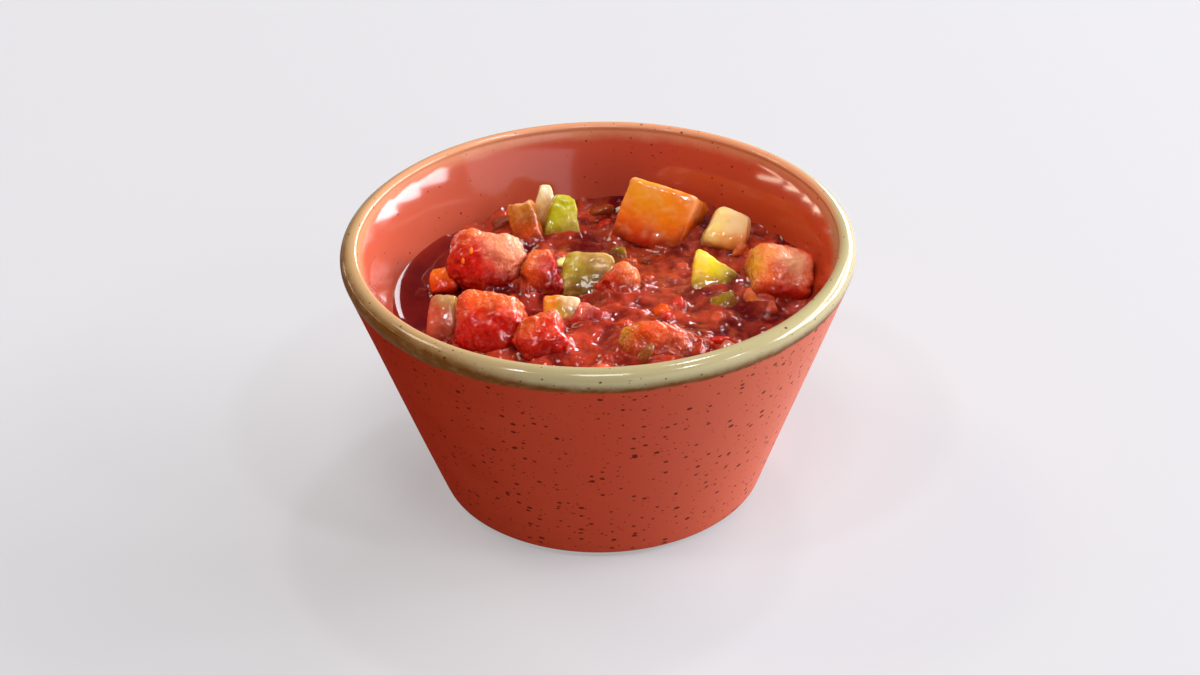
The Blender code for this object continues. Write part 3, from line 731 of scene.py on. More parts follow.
def run(start, end, rows):
    """Evenly spaced points between two points of a profile, without the ends."""
    shares = [row / rows for row in range(1, rows)]
    return [tuple(a + (b - a) * share for a, b in zip(start, end)) for share in shares]


def link(name, bm, material, smooth_angle=None):
    """Turn a bmesh into a piece that rides with the bowl and has one material."""
    mesh = bpy.data.meshes.new(name)
    bm.to_mesh(mesh)
    bm.free()
    mesh.shade_smooth()
    if smooth_angle:
        mesh.set_sharp_from_angle(angle=smooth_angle)
    mesh.materials.append(material)
    piece = bpy.data.objects.new(name, mesh)
    bpy.context.scene.collection.objects.link(piece)
    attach(piece, "root")
    return piece


def bowl_profile():
    """The bowl from the middle of its underside, round the lip and down to the middle of its floor."""
    corner = fillet_centre(FOOT_HEIGHT, BASE_CORNER, 1)
    hollow = fillet_centre(FLOOR_TOP, FLOOR_FILLET, -1)
    foot_outer = corner[0] - FOOT_INSET
    foot_inner = foot_outer - FOOT_WIDTH
    recess = (foot_inner - RECESS_DEPTH, RECESS_DEPTH)
    points = [(0.0, RECESS_DEPTH), *run((0.0, RECESS_DEPTH), recess, RECESS_ROWS), recess]
    foot = ((foot_inner, 0.0), (foot_outer, 0.0))
    points += [foot[0], *run(*foot, FOOT_ROWS), foot[1], (foot_outer, FOOT_HEIGHT)]
    base = arc(corner, BASE_CORNER, -math.pi / 2, -WALL_LEAN, CORNER_ROWS)
    lip = arc(lip_centre(), LIP_RADIUS, -WALL_LEAN, math.pi - WALL_LEAN, LIP_ROWS)
    floor = arc(hollow, FLOOR_FILLET, -WALL_LEAN, -math.pi / 2, FILLET_ROWS)
    points += [*base, *run(base[-1], lip[0], WALL_ROWS), *lip, *run(lip[-1], floor[0], WALL_ROWS)]
    points += [*floor, *run(floor[-1], (0.0, FLOOR_TOP), FLOOR_ROWS), (0.0, FLOOR_TOP)]
    return [flared(point) for point in points]


def flared(point):
    """Move the inside of the wall outwards below the lip, where it opens out."""
    radius, height = point
    middle = wall_radius(height, 0)
    down = (BOWL_HEIGHT - height) / FLARE_DEPTH
    if radius > middle or down > 1.0:
        return point
    inside = min(1.0, (middle - radius) / LIP_RADIUS)
    out = FLARE_OUT * inside * (1.0 - down) ** 2 * smoothstep(down, 0.0, FLARE_START)
    return radius + out, height


def make_bowl(material):
    """The turned bowl, with the slow unevenness of a thrown pot."""
    bm = bmesh.new()
    verts = [bm.verts.new((radius, 0.0, height)) for radius, height in bowl_profile()]
    edges = [bm.edges.new(pair) for pair in zip(verts, verts[1:])]
    axis = {"axis": (0, 0, 1), "cent": (0, 0, 0)}
    bmesh.ops.spin(bm, geom=verts + edges, steps=BOWL_STEPS, angle=math.tau, use_merge=True, **axis)
    bmesh.ops.remove_doubles(bm, verts=bm.verts, dist=WELD)
    bmesh.ops.recalc_face_normals(bm, faces=bm.faces)
    for vert in bm.verts:
        radius = vert.co.xy.length
        if vert.co.z > THROWING_FROM and radius > MM:
            wave = noise.noise(vert.co / THROWING_LENGTH) - 1.0
            vert.co.xy *= 1.0 + THROWING_DEPTH * wave / radius
    return link("bowl_thrown", bm, material, SHARP_ANGLE)


def glaze_material(colours):
    """Speckled coral glaze, sage on the lip, bare clay on the foot."""
    graph = new_material(
        "speckled_glaze", Specular_IOR_Level=0.0, Coat_Roughness=0.12, Coat_IOR=1.5)
    place = graph.place()
    across = graph.axis(place, 0)
    height = graph.axis(place, 2)
    flat = graph.vector("MULTIPLY", place, (1.0, 1.0, 0.0))
    radius = graph.vector("LENGTH", flat, (0.0, 0.0, 0.0), output="Value")
    lip_radius, lip_height = lip_centre()
    side = radius - (height - lip_height) * math.tan(WALL_LEAN) - lip_radius
    outside = graph.step(side, *WALL_FADE)
    wander = graph.noise(place, WANDER[0], 3.0) - 0.5
    ragged = graph.noise(place, RAGGED[0], 2.0) - 0.5
    depth = BOWL_HEIGHT - height + wander * WANDER[1] + ragged * RAGGED[1]
    edge = depth - colours.band_outside
    back = graph.step(graph.axis(place, 1), *BAND_NARROWS)
    inward = side + wander * INWARD_WANDER + colours.band_inside * (1.0 - back * 0.85)
    band = graph.step(edge, *BAND_FADE) * graph.step(inward, *CREST_FADE)
    # Painted shade on the left of the lip: the sage turns tan there
    left = graph.step(across, *SAGE_SHADED_LEFT)
    coral = graph.mix(
        inside_colour(graph, across, depth, colours), wall_colour(graph, place, across, colours), outside)
    # Towards the worn lower edge of the band, which reaches higher on the left as painted shade
    toward_edge = graph.step(edge + left * SHADE_RISE_LEFT, *WORN_EDGE) * outside
    colour = graph.mix(coral, sage_colour(graph, place, left, toward_edge, colours), band)
    few = 0.5 + outside * (1.0 - band) * 0.5
    for start, spacing, size in SPECKS:
        colour = speckled(graph, colour, graph.vector("ADD", place, start), colours, spacing, size * few)
    bare = graph.step(height, FOOT_HEIGHT * 1.35, FOOT_HEIGHT * 0.9)
    graph.feed(Base_Color=graph.mix(colour, colours.clay, bare))
    graph.feed(Roughness=0.36 + graph.noise(place, BLOTCH_LENGTH, 3.0, 0.6) * 0.1 + bare * 0.3)
    satin = outside * (1.0 - band * (1.0 - toward_edge * 0.9))
    graph.feed(Coat_Weight=1.0 - satin * (0.98 - graph.step(across, *GLOSS_RETURNS) * 0.3))
    graph.feed(Normal=graph.bump(graph.noise(place, RIPPLE_LENGTH, 2.0), 0.12, RIPPLE_DEPTH))
    return graph.owner


def wall_colour(graph, place, across, colours):
    """The outside of the wall: painted shade on the left and painted light on the right, the shade with a
    mottled edge.
    """
    mottle = graph.noise(place, MOTTLE[0], 4.0, 0.6) - 0.5
    deep = graph.mix(
        colours.glaze, colours.shaded_glaze, graph.step(across + mottle * MOTTLE[1], *GLAZE_SHADED_LEFT))
    return graph.mix(deep, colours.lit_glaze, graph.step(across, *GLAZE_LIT_RIGHT))


def inside_colour(graph, across, depth, colours):
    """The inside of the wall: painted light that makes the left paler, painted warm bounce light that makes
    the right redder, and a pale painted highlight just below the lip.
    """
    lit_inside = graph.mix(colours.shaded_glaze, colours.lit_glaze, 0.55)
    hollow = graph.mix(colours.glaze, lit_inside, graph.step(across, *INSIDE_LIT_LEFT))
    hollow = graph.mix(hollow, ORANGE_RED, graph.step(across, *INSIDE_BOUNCE_RIGHT) * 0.3)
    return graph.mix(hollow, PEACH, graph.step(depth, *HIGHLIGHT_BELOW_LIP) * 0.5)


def sage_colour(graph, place, left, toward_edge, colours):
    """The sage band: tan on the left as painted shade, and wearing to olive brown in streaks towards its
    lower edge, higher on the left as painted shade.
    """
    streaks = graph.noise(graph.vector("MULTIPLY", place, (1.0, 1.0, 2.2)), STREAK_LENGTH, 3.0, 0.6)
    worn_and_shaded = graph.clamp(toward_edge * (0.6 + streaks * 0.8))
    return graph.mix(graph.mix(colours.lip, TAN, left * 0.5), colours.lip_edge, worn_and_shaded)


def speckled(graph, colour, place, colours, scale, size):
    """Add iron specks: spheres scattered through the glaze, cut by its surface."""
    length = colours.speck_spacing * scale
    place = graph.vector("MULTIPLY", place, SPECK_STRETCH)
    jitter = graph.noise(place, SPECK_JITTER, 1.0) * 0.14
    distance = graph.cells(place, length) + jitter
    chance = graph.axis(graph.cells(place, length, "Color"), 0)
    reach = chance * size
    speck = graph.step(distance - reach, 0.12, 0.05)
    return graph.mix(colour, colours.speck, speck * (0.35 + chance * 0.55))


def pool_share(x, y):
    """How much of the still juice by the left wall lies at a place, from 0 to 1."""
    along = POOL_END - POOL_CENTRE
    share = (Vector((x, y)) - POOL_CENTRE).dot(along) / along.length_squared
    middle = POOL_CENTRE + along * min(1.0, max(0.0, share))
    return smoothstep(nearness(x, y, middle, POOL_WIDTH), *POOL_EDGE)


def nearness(x, y, centre, reach):
    """1 at a centre, falling off to 0 round it."""
    return math.exp(-(((Vector((x, y)) - centre).length / reach) ** 2))


def sauce_height(x, y, still=0.0):
    """Height of the sauce at a place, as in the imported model, without its swells where it is still."""
    reach = inner_radius(SAUCE_LEVEL)
    crown = SAUCE_CROWN * (1.0 - (x * x + y * y) / reach**2)
    height = SAUCE_LEVEL + crown + SAUCE_RISE * max(x, 0.0) / reach
    for at_x, at_y, rise, mound_reach in MOUNDS:
        height += rise * MM * nearness(x, y, Vector((at_x, at_y)) * MM, mound_reach * MM)
    pool = nearness(x, y, POOL_CENTRE, POOL_REACH)
    place = Vector((x, y, 0.0))
    swell = SWELL_HEIGHT * noise.noise(place / SWELL_LENGTH)
    pulp = PULP_HEIGHT * noise.noise(place / PULP_LENGTH)
    return height + (swell + pulp) * (1.0 - max(pool, still)) - POOL_DIP * pool


def facing_matrix(facing, roll):
    """A turn whose Z looks at an azimuth from the front and an elevation, rolled about itself."""
    azimuth, elevation = (math.radians(angle) for angle in facing)
    right = Vector((math.cos(azimuth), math.sin(azimuth), 0.0))
    level_out = Vector((math.sin(azimuth), -math.cos(azimuth), 0.0))
    out = level_out * math.cos(elevation) + UP * math.sin(elevation)
    turn = Matrix((right, out.cross(right), out)).transposed()
    return (turn @ Matrix.Rotation(math.radians(roll), 3, "Z")).to_4x4()


def curl(point, size, bend):
    """Bend a point of a slab of the given size about an upright line behind it."""
    if not bend:
        return point
    radius = size[0] / math.radians(bend)
    angle = point.x / radius
    across = radius + point.z
    return Vector((across * math.sin(angle), point.y, across * math.cos(angle) - radius))


def chunk(piece, seed, spacing):
    """A piece at its place: a finely gridded cube, rounded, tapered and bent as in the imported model."""
    size = Vector(piece.size) * MM
    bm = bmesh.new()
    bmesh.ops.create_cube(bm, size=2.0)
    cuts = round(max(size) / spacing)
    bmesh.ops.subdivide_edges(bm, edges=bm.edges, cuts=cuts, use_grid_fill=True)
    power = piece.flesh.squareness
    drift = PIECE_DRIFT * seed
    for vert in bm.verts:
        norm = sum(abs(value) ** power for value in vert.co) ** (1.0 / power)
        point = vert.co / norm
        narrow = 1.0 - piece.taper * (point.y + 1.0) / 2.0
        point = Vector((point.x * narrow * size.x, point.y * size.y, point.z * narrow * size.z)) / 2.0
        rough = noise.noise_vector(point / (size.x * ROUGH_SHARE) + drift)
        vert.co = curl(point, size, piece.bend) + piece.flesh.wobble * MM * rough
    place = Matrix.Translation(Vector(piece.at) * MM) @ facing_matrix(piece.facing, piece.roll)
    bmesh.ops.transform(bm, matrix=place, verts=bm.verts)
    bmesh.ops.recalc_face_normals(bm, faces=bm.faces)
    return bm


def shave(bm, flesh, rng):
    """Cut a piece flat here and there, as a knife leaves it."""
    for _ in range(flesh.shaves):
        out = Vector([rng.gauss(0.0, 1.0) for _ in range(3)]).normalized()
        out.z = abs(out.z)
        depth = flesh.shave_depth * MM * rng.uniform(0.4, 1.0)
        limit = max(vert.co.dot(out) for vert in bm.verts) - depth
        for vert in bm.verts:
            over = vert.co.dot(out) - limit
            if over > 0.0:
                vert.co -= out * over * SHAVE_FLATNESS


def roughen(bm, flesh, drift):
    """Give a piece its lumps, folds and grain, and keep it inside the bowl."""
    bm.normal_update()
    moved = []
    for vert in bm.verts:
        place = vert.co + drift
        lump = flesh.lumps * noise.noise(place / LUMP_LENGTH)
        fold = flesh.folds * (abs(noise.noise(place / FOLD_LENGTH)) * 1.8 - 0.4)
        bead = flesh.grain * (abs(noise.noise(place / GRAIN_LENGTH)) * 2.0 - 0.4)
        moved.append(vert.co + vert.normal * (lump + fold + bead) * MM)
    for vert, place in zip(bm.verts, moved):
        limit = inner_radius(place.z)
        if place.xy.length > limit:
            place.xy *= limit / place.xy.length
        vert.co = place


def convexity(vert):
    """How far a point stands out from its neighbours, as a share of the distance to them."""
    others = [edge.other_vert(vert).co for edge in vert.link_edges]
    middle = sum(others, Vector()) / len(others)
    spread = sum((other - vert.co).length for other in others) / len(others)
    return (vert.co - middle).dot(vert.normal) / spread


def paint(bm, piece, settings, drift):
    """Colour a piece's points: its patches, its paler ridges, painted light on its tops, and the sauce that
    clings to its foot, with painted shade there and on its sides that look down or away.
    """
    layer = bm.verts.layers.float_color.new("paint")
    bm.normal_update()
    low = Vector([min(vert.co[axis] for vert in bm.verts) for axis in range(3)])
    high = Vector([max(vert.co[axis] for vert in bm.verts) for axis in range(3)])
    middle = (low + high) / 2
    half = (high - low) / 2
    patches = []
    for patch in piece.patches:
        centre = middle + Vector([half[axis] * patch.at[axis] for axis in range(3)])
        patches.append((centre, patch.reach * MM, Vector(patch.colour), patch.strength))
    film = Vector(settings.film)
    film_and_shade_height = settings.film_and_shade_height * min(1.0, max(piece.size) / FULL_FILM)
    pale = Vector(piece.flesh.edge_colour)
    for vert in bm.verts:
        place = vert.co
        wander = noise.noise_vector((place + drift) / COLOUR_LENGTH) * COLOUR_WANDER
        colour = Vector(piece.colour)
        for centre, reach, patch_colour, strength in patches:
            near = (place + wander - centre).length / (reach * PATCH_REACH)
            colour = colour.lerp(patch_colour, strength * math.exp(-(near**3)))
        ridge = smoothstep(convexity(vert), 0.02, 0.2) * 0.6
        # Painted light: the tops that face up turn pale
        crown = smoothstep(vert.normal.z, 0.5, 0.95) * smoothstep(wander.y / MM, -0.4, 0.5)
        colour = colour.lerp(pale, max(ridge, crown) * piece.flesh.edge)
        # The film at the foot: sauce that clings there, deep enough in colour to be painted shade too
        above = place.z - sauce_height(place.x, place.y) + wander.x
        cover = 1.0 - smoothstep(above, FILM_START, film_and_shade_height)
        # Painted shade: the sides that look down or away take the colour of the film
        shaded_side = 1.0 - smoothstep(vert.normal.z, -0.3, 0.55)
        colour = colour.lerp(film, max(cover * FILM_COVER, shaded_side * piece.flesh.stain))
        vert[layer] = (*colour, 1.0)


def wet_skin(graph, place, skin):
    """Where the clear film lies on wet food, and the distance from its pimples."""
    film = graph.step(graph.noise(place, skin.film, 1.0), 0.4, 0.6)
    pimples = graph.cells(place, skin.pimples, "Distance", "SMOOTH_F1")
    return film, pimples


def flesh_material(name, finish):
    """Wet cooked flesh: its painted colour, broken up, grainy where it is pale with painted glints on the
    grains, under a clear film.
    """
    graph = new_material(
        name, Subsurface_Weight=finish.scatter, Subsurface_Scale=finish.depth * MM,
        Subsurface_Radius=(1.0, 0.35, 0.2), **WET_FILM)
    place = graph.place()
    painted = graph.attribute("paint")
    film, pimples = wet_skin(graph, place, FLESH_SKIN)
    broad = graph.noise(place, BROAD_LENGTH, 3.0, 0.6)
    fine = graph.noise(graph.vector("MULTIPLY", place, finish.fibre), FLESH_SKIN.fine, 2.0, 0.5)
    dark = graph.vector("MULTIPLY", painted, (0.6, 0.42, 0.4))
    light = graph.vector("MULTIPLY_ADD", painted, (0.9, 0.9, 0.9), (0.14, 0.08, 0.04))
    colour = graph.mix(painted, dark, graph.step(broad, 0.48, 0.28) * finish.variety)
    colour = graph.mix(colour, light, graph.step(fine, 0.55, 0.75) * finish.variety)
    grains = graph.cells(place, GRAIN_CELL) + graph.noise(place, GRAIN_BREAK, 1.0) * 0.3
    pale = graph.step(graph.axis(painted, 1), 0.015, 0.12) * graph.step(broad, 0.35, 0.6) * finish.frost
    # Painted glints: the grains turn paler where the flesh is pale
    glint = graph.vector("MULTIPLY_ADD", painted, (0.75, 0.75, 0.75), (0.26, 0.16, 0.08))
    colour = graph.mix(colour, glint, graph.step(grains, 0.78, 0.42) * pale)
    graph.feed(Base_Color=colour, Roughness=finish.roughness + fine * 0.12)
    relief = (fine * 0.7 - pimples * 0.8) * (film * 0.9 + 0.1) + broad * 0.5 - grains * pale * 0.7
    graph.feed(Coat_Weight=film * 0.5 + 0.35)
    graph.feed(Normal=graph.bump(relief, finish.bump, FLESH_SKIN.depth))
    return graph.owner


def make_pieces(flesh, settings):
    """Every piece of one kind of flesh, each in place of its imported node."""
    material = flesh_material("wet_" + flesh.slot, flesh.finish)
    for index, (node, piece) in enumerate(PIECES.items(), start=1):
        if piece.flesh is not flesh:
            continue
        drift = RELIEF_DRIFT * index
        bm = chunk(piece, index, settings.spacing)
        shave(bm, flesh, random.Random(index))
        roughen(bm, flesh, drift)
        paint(bm, piece, settings, drift)
        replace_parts(link(node + "_wet", bm, material), node)


def make_kinds(context, *kinds):
    """Every piece of some kinds of flesh, as an operator's whole step."""
    for flesh in kinds:
        make_pieces(flesh, context.scene.salsa.pieces)
    return {"FINISHED"}


def surface_tree(names):
    """One search tree over the faces of several pieces, and the top of the piece of every face."""
    verts = []
    faces = []
    tops = []
    for name in names:
        mesh = bpy.data.objects[name].data
        start = len(verts)
        verts += [vert.co for vert in mesh.vertices]
        faces += [[start + index for index in face.vertices] for face in mesh.polygons]
        tops += [max(vert.co.z for vert in mesh.vertices)] * len(mesh.polygons)
    return BVHTree.FromPolygons(verts, faces), tops


def round_grid(cells):
    """A level disc of radius 1 with an even grid: a square grid drawn in to a circle."""
    bm = bmesh.new()
    bmesh.ops.create_grid(bm, x_segments=cells, y_segments=cells, size=1.0)
    for vert in bm.verts:
        x, y = vert.co.xy
        vert.co.x = x * math.sqrt(1.0 - y * y / 2.0)
        vert.co.y = y * math.sqrt(1.0 - x * x / 2.0)
    return bm


def scattered_spots(size, count, taken, rng):
    """Spots between the pieces, each with its turn in radians.

    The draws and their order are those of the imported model, which also draws a tilt for each spot.
    """
    reach = inner_radius(SAUCE_LEVEL) - size[1]
    spots = []
    while len(spots) < count:
        angle = rng.uniform(0.0, math.tau)
        radius = reach * math.sqrt(rng.random())
        spot = Vector((radius * math.cos(angle), radius * math.sin(angle)))
        if any((spot - centre).length < clear for centre, clear in taken):
            continue
        rng.uniform(0.0, 1.0)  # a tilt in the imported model, flat here
        spots.append((spot, angle))
        taken.append((spot, size[1]))
    return spots


def fused_bits():
    """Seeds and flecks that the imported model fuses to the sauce: place, turn, size and colour."""
    rng = random.Random(BITS_SEED)
    taken = [(Vector(p.at[:2]) * MM, max(p.size[:2]) * MM / 2 + BIT_CLEARANCE) for p in PIECES.values()]
    bits = []
    for size, count, colours in (
        (SEED_SIZE, SEED_COUNT, (CORAL, ORANGE_RED, CORAL)),
        (FLECK_SIZE, FLECK_COUNT, (ORANGE_RED, SCARLET, OLIVE)),
    ):
        for index, (spot, turn) in enumerate(scattered_spots(size, count, taken, rng)):
            bits.append((spot, turn, size, Vector(colours[index % 3])))
    return bits


def bit_relief(x, y, bits):
    """How high a fused bit stands at a place, and its colour."""
    best = (0.0, Vector(BLUSH))
    for spot, turn, size, colour in bits:
        across = x - spot.x
        along = y - spot.y
        if abs(across) + abs(along) > size[1] * 1.5:
            continue
        wide = (across * math.cos(turn) + along * math.sin(turn)) / size[0]
        long = (along * math.cos(turn) - across * math.sin(turn)) / size[1]
        uneven = 0.6 * noise.noise(Vector((x, y, 0.0)) / BLOB_LENGTH)
        rise = 0.5 * size[2] * smoothstep(1.0 - 4.0 * (wide * wide + long * long) + uneven, 0.0, 0.8)
        if rise > best[0]:
            best = (rise, colour)
    return best


def make_sauce(material, settings):
    """The sauce: soft pulp, drawn up against the wall and against every piece in it."""
    bm = round_grid(SAUCE_CELLS)
    paint_layer = bm.verts.layers.float_color.new("paint")
    pool_layer = bm.verts.layers.float.new("pool")
    tree, tops = surface_tree([node + "_wet" for node in PIECES])
    bits = fused_bits()
    reach = inner_radius(SAUCE_LEVEL) + WALL_OVERLAP
    for vert in bm.verts:
        share = vert.co.xy.length
        x, y = vert.co.xy * reach
        pool = pool_share(x, y)
        place = Vector((x, y, 0.0))
        bent = place + noise.noise_vector(place / settings.lump_spacing) * settings.lump_spacing * LUMP_BEND
        broad = noise.noise(bent / settings.lump_spacing + UP * 3.0)
        small = noise.noise(bent / (settings.lump_spacing * 0.5) + UP * 6.0)
        fine = noise.noise(place / FINE_LENGTH + UP * 9.0)
        height = sauce_height(x, y, pool) - POOL_SAG * pool
        rough = settings.lump_height * (broad + small * SMALL_LUMPS) + settings.relief * fine
        height += rough * (1.0 - pool)
        wall = (1.0 - share) * reach
        wall_reach = settings.climb_reach * (0.8 + POOL_CLIMB * pool)
        height += settings.climb * (1.0 + POOL_CLIMB * pool) * math.exp(-wall / wall_reach)
        near = tree.find_nearest(Vector((x, y, height)), SEARCH_REACH)
        if near[0]:
            proud = max(0.0, tops[near[2]] - height)
            rise = min(settings.climb, proud * CLIMB_SHARE) * math.exp(-near[3] / settings.climb_reach)
            height += rise * (1.0 - pool * 0.5)
        bump, bit_colour = bit_relief(x, y, bits)
        bump *= 1.0 - pool * 0.7
        height += bump
        spread = (inner_radius(height) + WALL_OVERLAP) / reach
        widen = 1.0 + (spread - 1.0) * share
        vert.co = Vector((x * widen, y * widen, height))
        colour = sauce_colour(x, y, broad + small * 0.7 + fine * 0.2, pool, settings)
        colour = colour.lerp(Vector(settings.pulp), 0.5 * math.exp(-wall / RIM_GLOW) * pool)
        vert[paint_layer] = (*colour.lerp(bit_colour, smoothstep(bump, *BIT_SHOWS) * 0.5), 1.0)
        vert[pool_layer] = pool
    close_below(bm)
    sauce = link("sauce_wet", bm, material)
    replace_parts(sauce, "sauce")
    return sauce


def sauce_colour(x, y, crest, pool, settings):
    """Colour of the sauce at a place: pulp on its crests, clear and dark in its hollows."""
    place = Vector((x, y, 0.0))
    drift = noise.noise(place / DRIFT_LENGTH + UP * 8.0)
    colour = Vector(settings.deep).lerp(Vector(settings.pulp), smoothstep(crest + drift * 1.3, -0.7, 0.85))
    for tone in SAUCE_TONES:
        near = nearness(x, y, Vector((tone.x, tone.y)) * MM, tone.reach * MM)
        colour = colour.lerp(Vector(tone.colour), near * tone.strength * (0.75 + 0.4 * crest))
    scrap = smoothstep(noise.noise(place / SCRAP_LENGTH + UP * 11.0), 0.15, 0.5)
    scrap_colour = ORANGE_RED if noise.noise(place / SCRAP_MIX_LENGTH + UP * 14.0) > 0.0 else CORAL
    colour = colour.lerp(Vector(scrap_colour), scrap * 0.25)
    return colour.lerp(Vector(settings.juice), pool * 0.92)


def close_below(bm):
    """Carry the edge of the sauce down the wall and close it above the floor of the bowl."""
    rim = [edge for edge in bm.edges if edge.is_boundary]
    floor_end = FLOOR_TOP + FLOOR_FILLET
    for depth in (floor_end, FLOOR_TOP + FLOOR_FILLET * 0.4, SAUCE_BOTTOM):
        grown = bmesh.ops.extrude_edge_only(bm, edges=rim)["geom"]
        for vert in [item for item in grown if isinstance(item, bmesh.types.BMVert)]:
            radius = vert.co.xy.length
            vert.co.xy *= (inner_radius(depth) + WALL_OVERLAP * 0.5) / radius
            vert.co.z = depth
        rim = [item for item in grown if isinstance(item, bmesh.types.BMEdge)]
    bmesh.ops.contextual_create(bm, geom=rim)
    bmesh.ops.recalc_face_normals(bm, faces=bm.faces)


def sauce_material():
    """Wet tomato sauce: painted pulp under a clear film, smooth where the juice stands."""
    graph = new_material(
        "wet_sauce", Subsurface_Weight=0.6, Subsurface_Scale=1.8 * MM, Subsurface_Radius=(1.0, 0.3, 0.18),
        **WET_FILM)
    place = graph.place()
    painted = graph.attribute("paint")
    pool = graph.attribute("pool", "Fac")
    still = 1.0 - pool
    film, pimples = wet_skin(graph, place, SAUCE_SKIN)
    fine = graph.noise(place, SAUCE_SKIN.fine, 2.0, 0.5)
    light = graph.vector("MULTIPLY_ADD", painted, (0.9, 0.9, 0.9), (0.14, 0.06, 0.04))
    graph.feed(Base_Color=graph.mix(painted, light, graph.step(fine, 0.55, 0.75) * still * 0.4))
    graph.feed(Roughness=0.08 + fine * still * 0.12)
    relief = (fine * 0.7 - pimples * 0.8) * still * (film * 0.85 + 0.15)
    graph.feed(Coat_Weight=graph.clamp(film * 0.5 + pool * 0.5 + 0.5))
    graph.feed(Normal=graph.bump(relief, 0.7, SAUCE_SKIN.depth))
    return graph.owner


class Bits:
    """A mesh of many small bits that lie on the food."""

    def __init__(self, trees):
        self.bm = bmesh.new()
        self.layer = self.bm.verts.layers.float_color.new("paint")
        self.trees = trees

    def seen(self, pixel, stage):
        """What the line of sight through a pixel of the picture meets, with its normal."""
        start, turn = viewpoint(stage)
        across = (pixel[0] - PICTURE_WIDTH / 2) / stage.focal
        up = (PICTURE_HEIGHT / 2 - pixel[1]) / stage.focal
        sight = turn @ Vector((across, up, -1.0)).normalized()
        hits = [tree.ray_cast(start, sight) for tree in self.trees]
        return min((hit for hit in hits if hit[0]), key=lambda hit: hit[3], default=None)

    def lay(self, bit, stage, rng, kind):
        """One seed (kind 0) or dice (kind 1) where it is seen, sunk by a share of its thickness."""
        at, normal = self.seen(bit.pixel, stage)[:2]
        squareness = BIT_SQUARENESS[kind]
        size = [length * MM for length in bit.size]
        flat = Matrix.Rotation(math.radians(bit.turn - 90.0), 3, "Z") @ Vector((1.0, 0.0, 0.0))
        side = (flat - normal * flat.dot(normal)).normalized()
        basis = Matrix((side, normal.cross(side), normal)).transposed()
        shift = Vector([rng.uniform(0.0, 50.0) for _ in range(3)])
        for vert in bmesh.ops.create_icosphere(self.bm, subdivisions=2, radius=1.0)["verts"]:
            norm = sum(abs(value) ** squareness for value in vert.co) ** (1.0 / squareness)
            form = vert.co / norm
            form += noise.noise_vector(form * 1.1 + shift) * BIT_ROUGHNESS[kind]
            narrow = 1.0 - SEED_POINT * (form.y + 1.0) / 2.0
            form = Vector((form.x * size[0] * narrow, form.y * size[1], form.z * size[2])) / 2.0
            vert.co = at + basis @ (form + UP * size[2] * (0.5 - BIT_SINK[kind]))
            shade = 1.0 + 0.25 * noise.noise(form / MM + shift)
            vert[self.layer] = (*[channel * shade for channel in bit.colour], 1.0)

    def finish(self, name, material, slot):
        bmesh.ops.recalc_face_normals(self.bm, faces=self.bm.faces)
        return link(name, self.bm, material)


def make_bits(stage):
    """Seeds and small diced bits on the sauce and on the pieces."""
    trees = [surface_tree(names)[0] for names in ([node + "_wet" for node in PIECES], ["sauce_wet"])]
    rng = random.Random(BITS_SEED)
    seeds = Bits(trees)
    dice = Bits(trees)
    for bit in SEEN_SEEDS:
        seeds.lay(bit, stage, rng, 0)
    for bit in SEEN_BITS:
        dice.lay(bit, stage, rng, 1)
    seeds.finish("seeds", flesh_material("wet_seed", SEED_FINISH), "onion")
    dice.finish("diced_bits", flesh_material("wet_bit", DICE_FINISH), "pepper_orange")


def make_lights(settings):
    """Rectangular lights that all look at the food."""
    for name, light in LIGHTS.items():
        data = bpy.data.lights.new(name, "AREA")
        data.shape = "RECTANGLE"
        data.size = light.width
        data.size_y = light.height
        data.energy = getattr(settings, light.setting) * light.share
        data.color = light.colour
        azimuth = math.radians(light.azimuth)
        elevation = math.radians(light.elevation)
        level_out = Vector((math.cos(azimuth), math.sin(azimuth), 0.0))
        out = level_out * math.cos(elevation) + UP * math.sin(elevation)
        lamp = bpy.data.objects.new(name, data)
        lamp.location = out * LIGHT_DISTANCE + UP * SAUCE_LEVEL
        lamp.rotation_euler = out.to_track_quat("Z", "Y").to_euler()
        bpy.context.scene.collection.objects.link(lamp)


def make_floor(settings):
    """A wide pale floor."""
    bm = bmesh.new()
    bmesh.ops.create_grid(bm, x_segments=1, y_segments=1, size=FLOOR_REACH)
    mesh = bpy.data.meshes.new("floor")
    bm.to_mesh(mesh)
    bm.free()
    pale = new_material("pale_floor", Base_Color=settings.floor, Roughness=0.8)
    pale.feed(Emission_Color=(0.98, 0.98, 1.0), Emission_Strength=settings.glow)
    mesh.materials.append(pale.owner)
    floor = bpy.data.objects.new("floor", mesh)
    bpy.context.scene.collection.objects.link(floor)


def viewpoint(settings):
    """Place and turn of the camera."""
    place = Vector((0.0, -settings.distance, settings.height))
    sight = Vector((0.0, 0.0, settings.aim)) - place
    return place, sight.to_track_quat("-Z", "Y").to_matrix() @ Matrix.Rotation(settings.roll, 3, "Z")


def make_camera(settings):
    """The camera at the picture's place."""
    data = bpy.data.cameras.new("camera")
    data.sensor_width = SENSOR_WIDTH
    data.lens = settings.focal * SENSOR_WIDTH / PICTURE_WIDTH
    camera = bpy.data.objects.new("camera", data)
    place, turn = viewpoint(settings)
    camera.location = place
    camera.rotation_euler = turn.to_euler()
    bpy.context.scene.collection.objects.link(camera)
    bpy.context.scene.camera = camera


def make_world(settings):
    """Pale even light from all round."""
    world = bpy.data.worlds.new("soft_sky")
    graph = Graph(world, "Background")
    graph.feed(Color=(0.96, 0.97, 1.0), Strength=settings.sky)
    bpy.context.scene.world = world


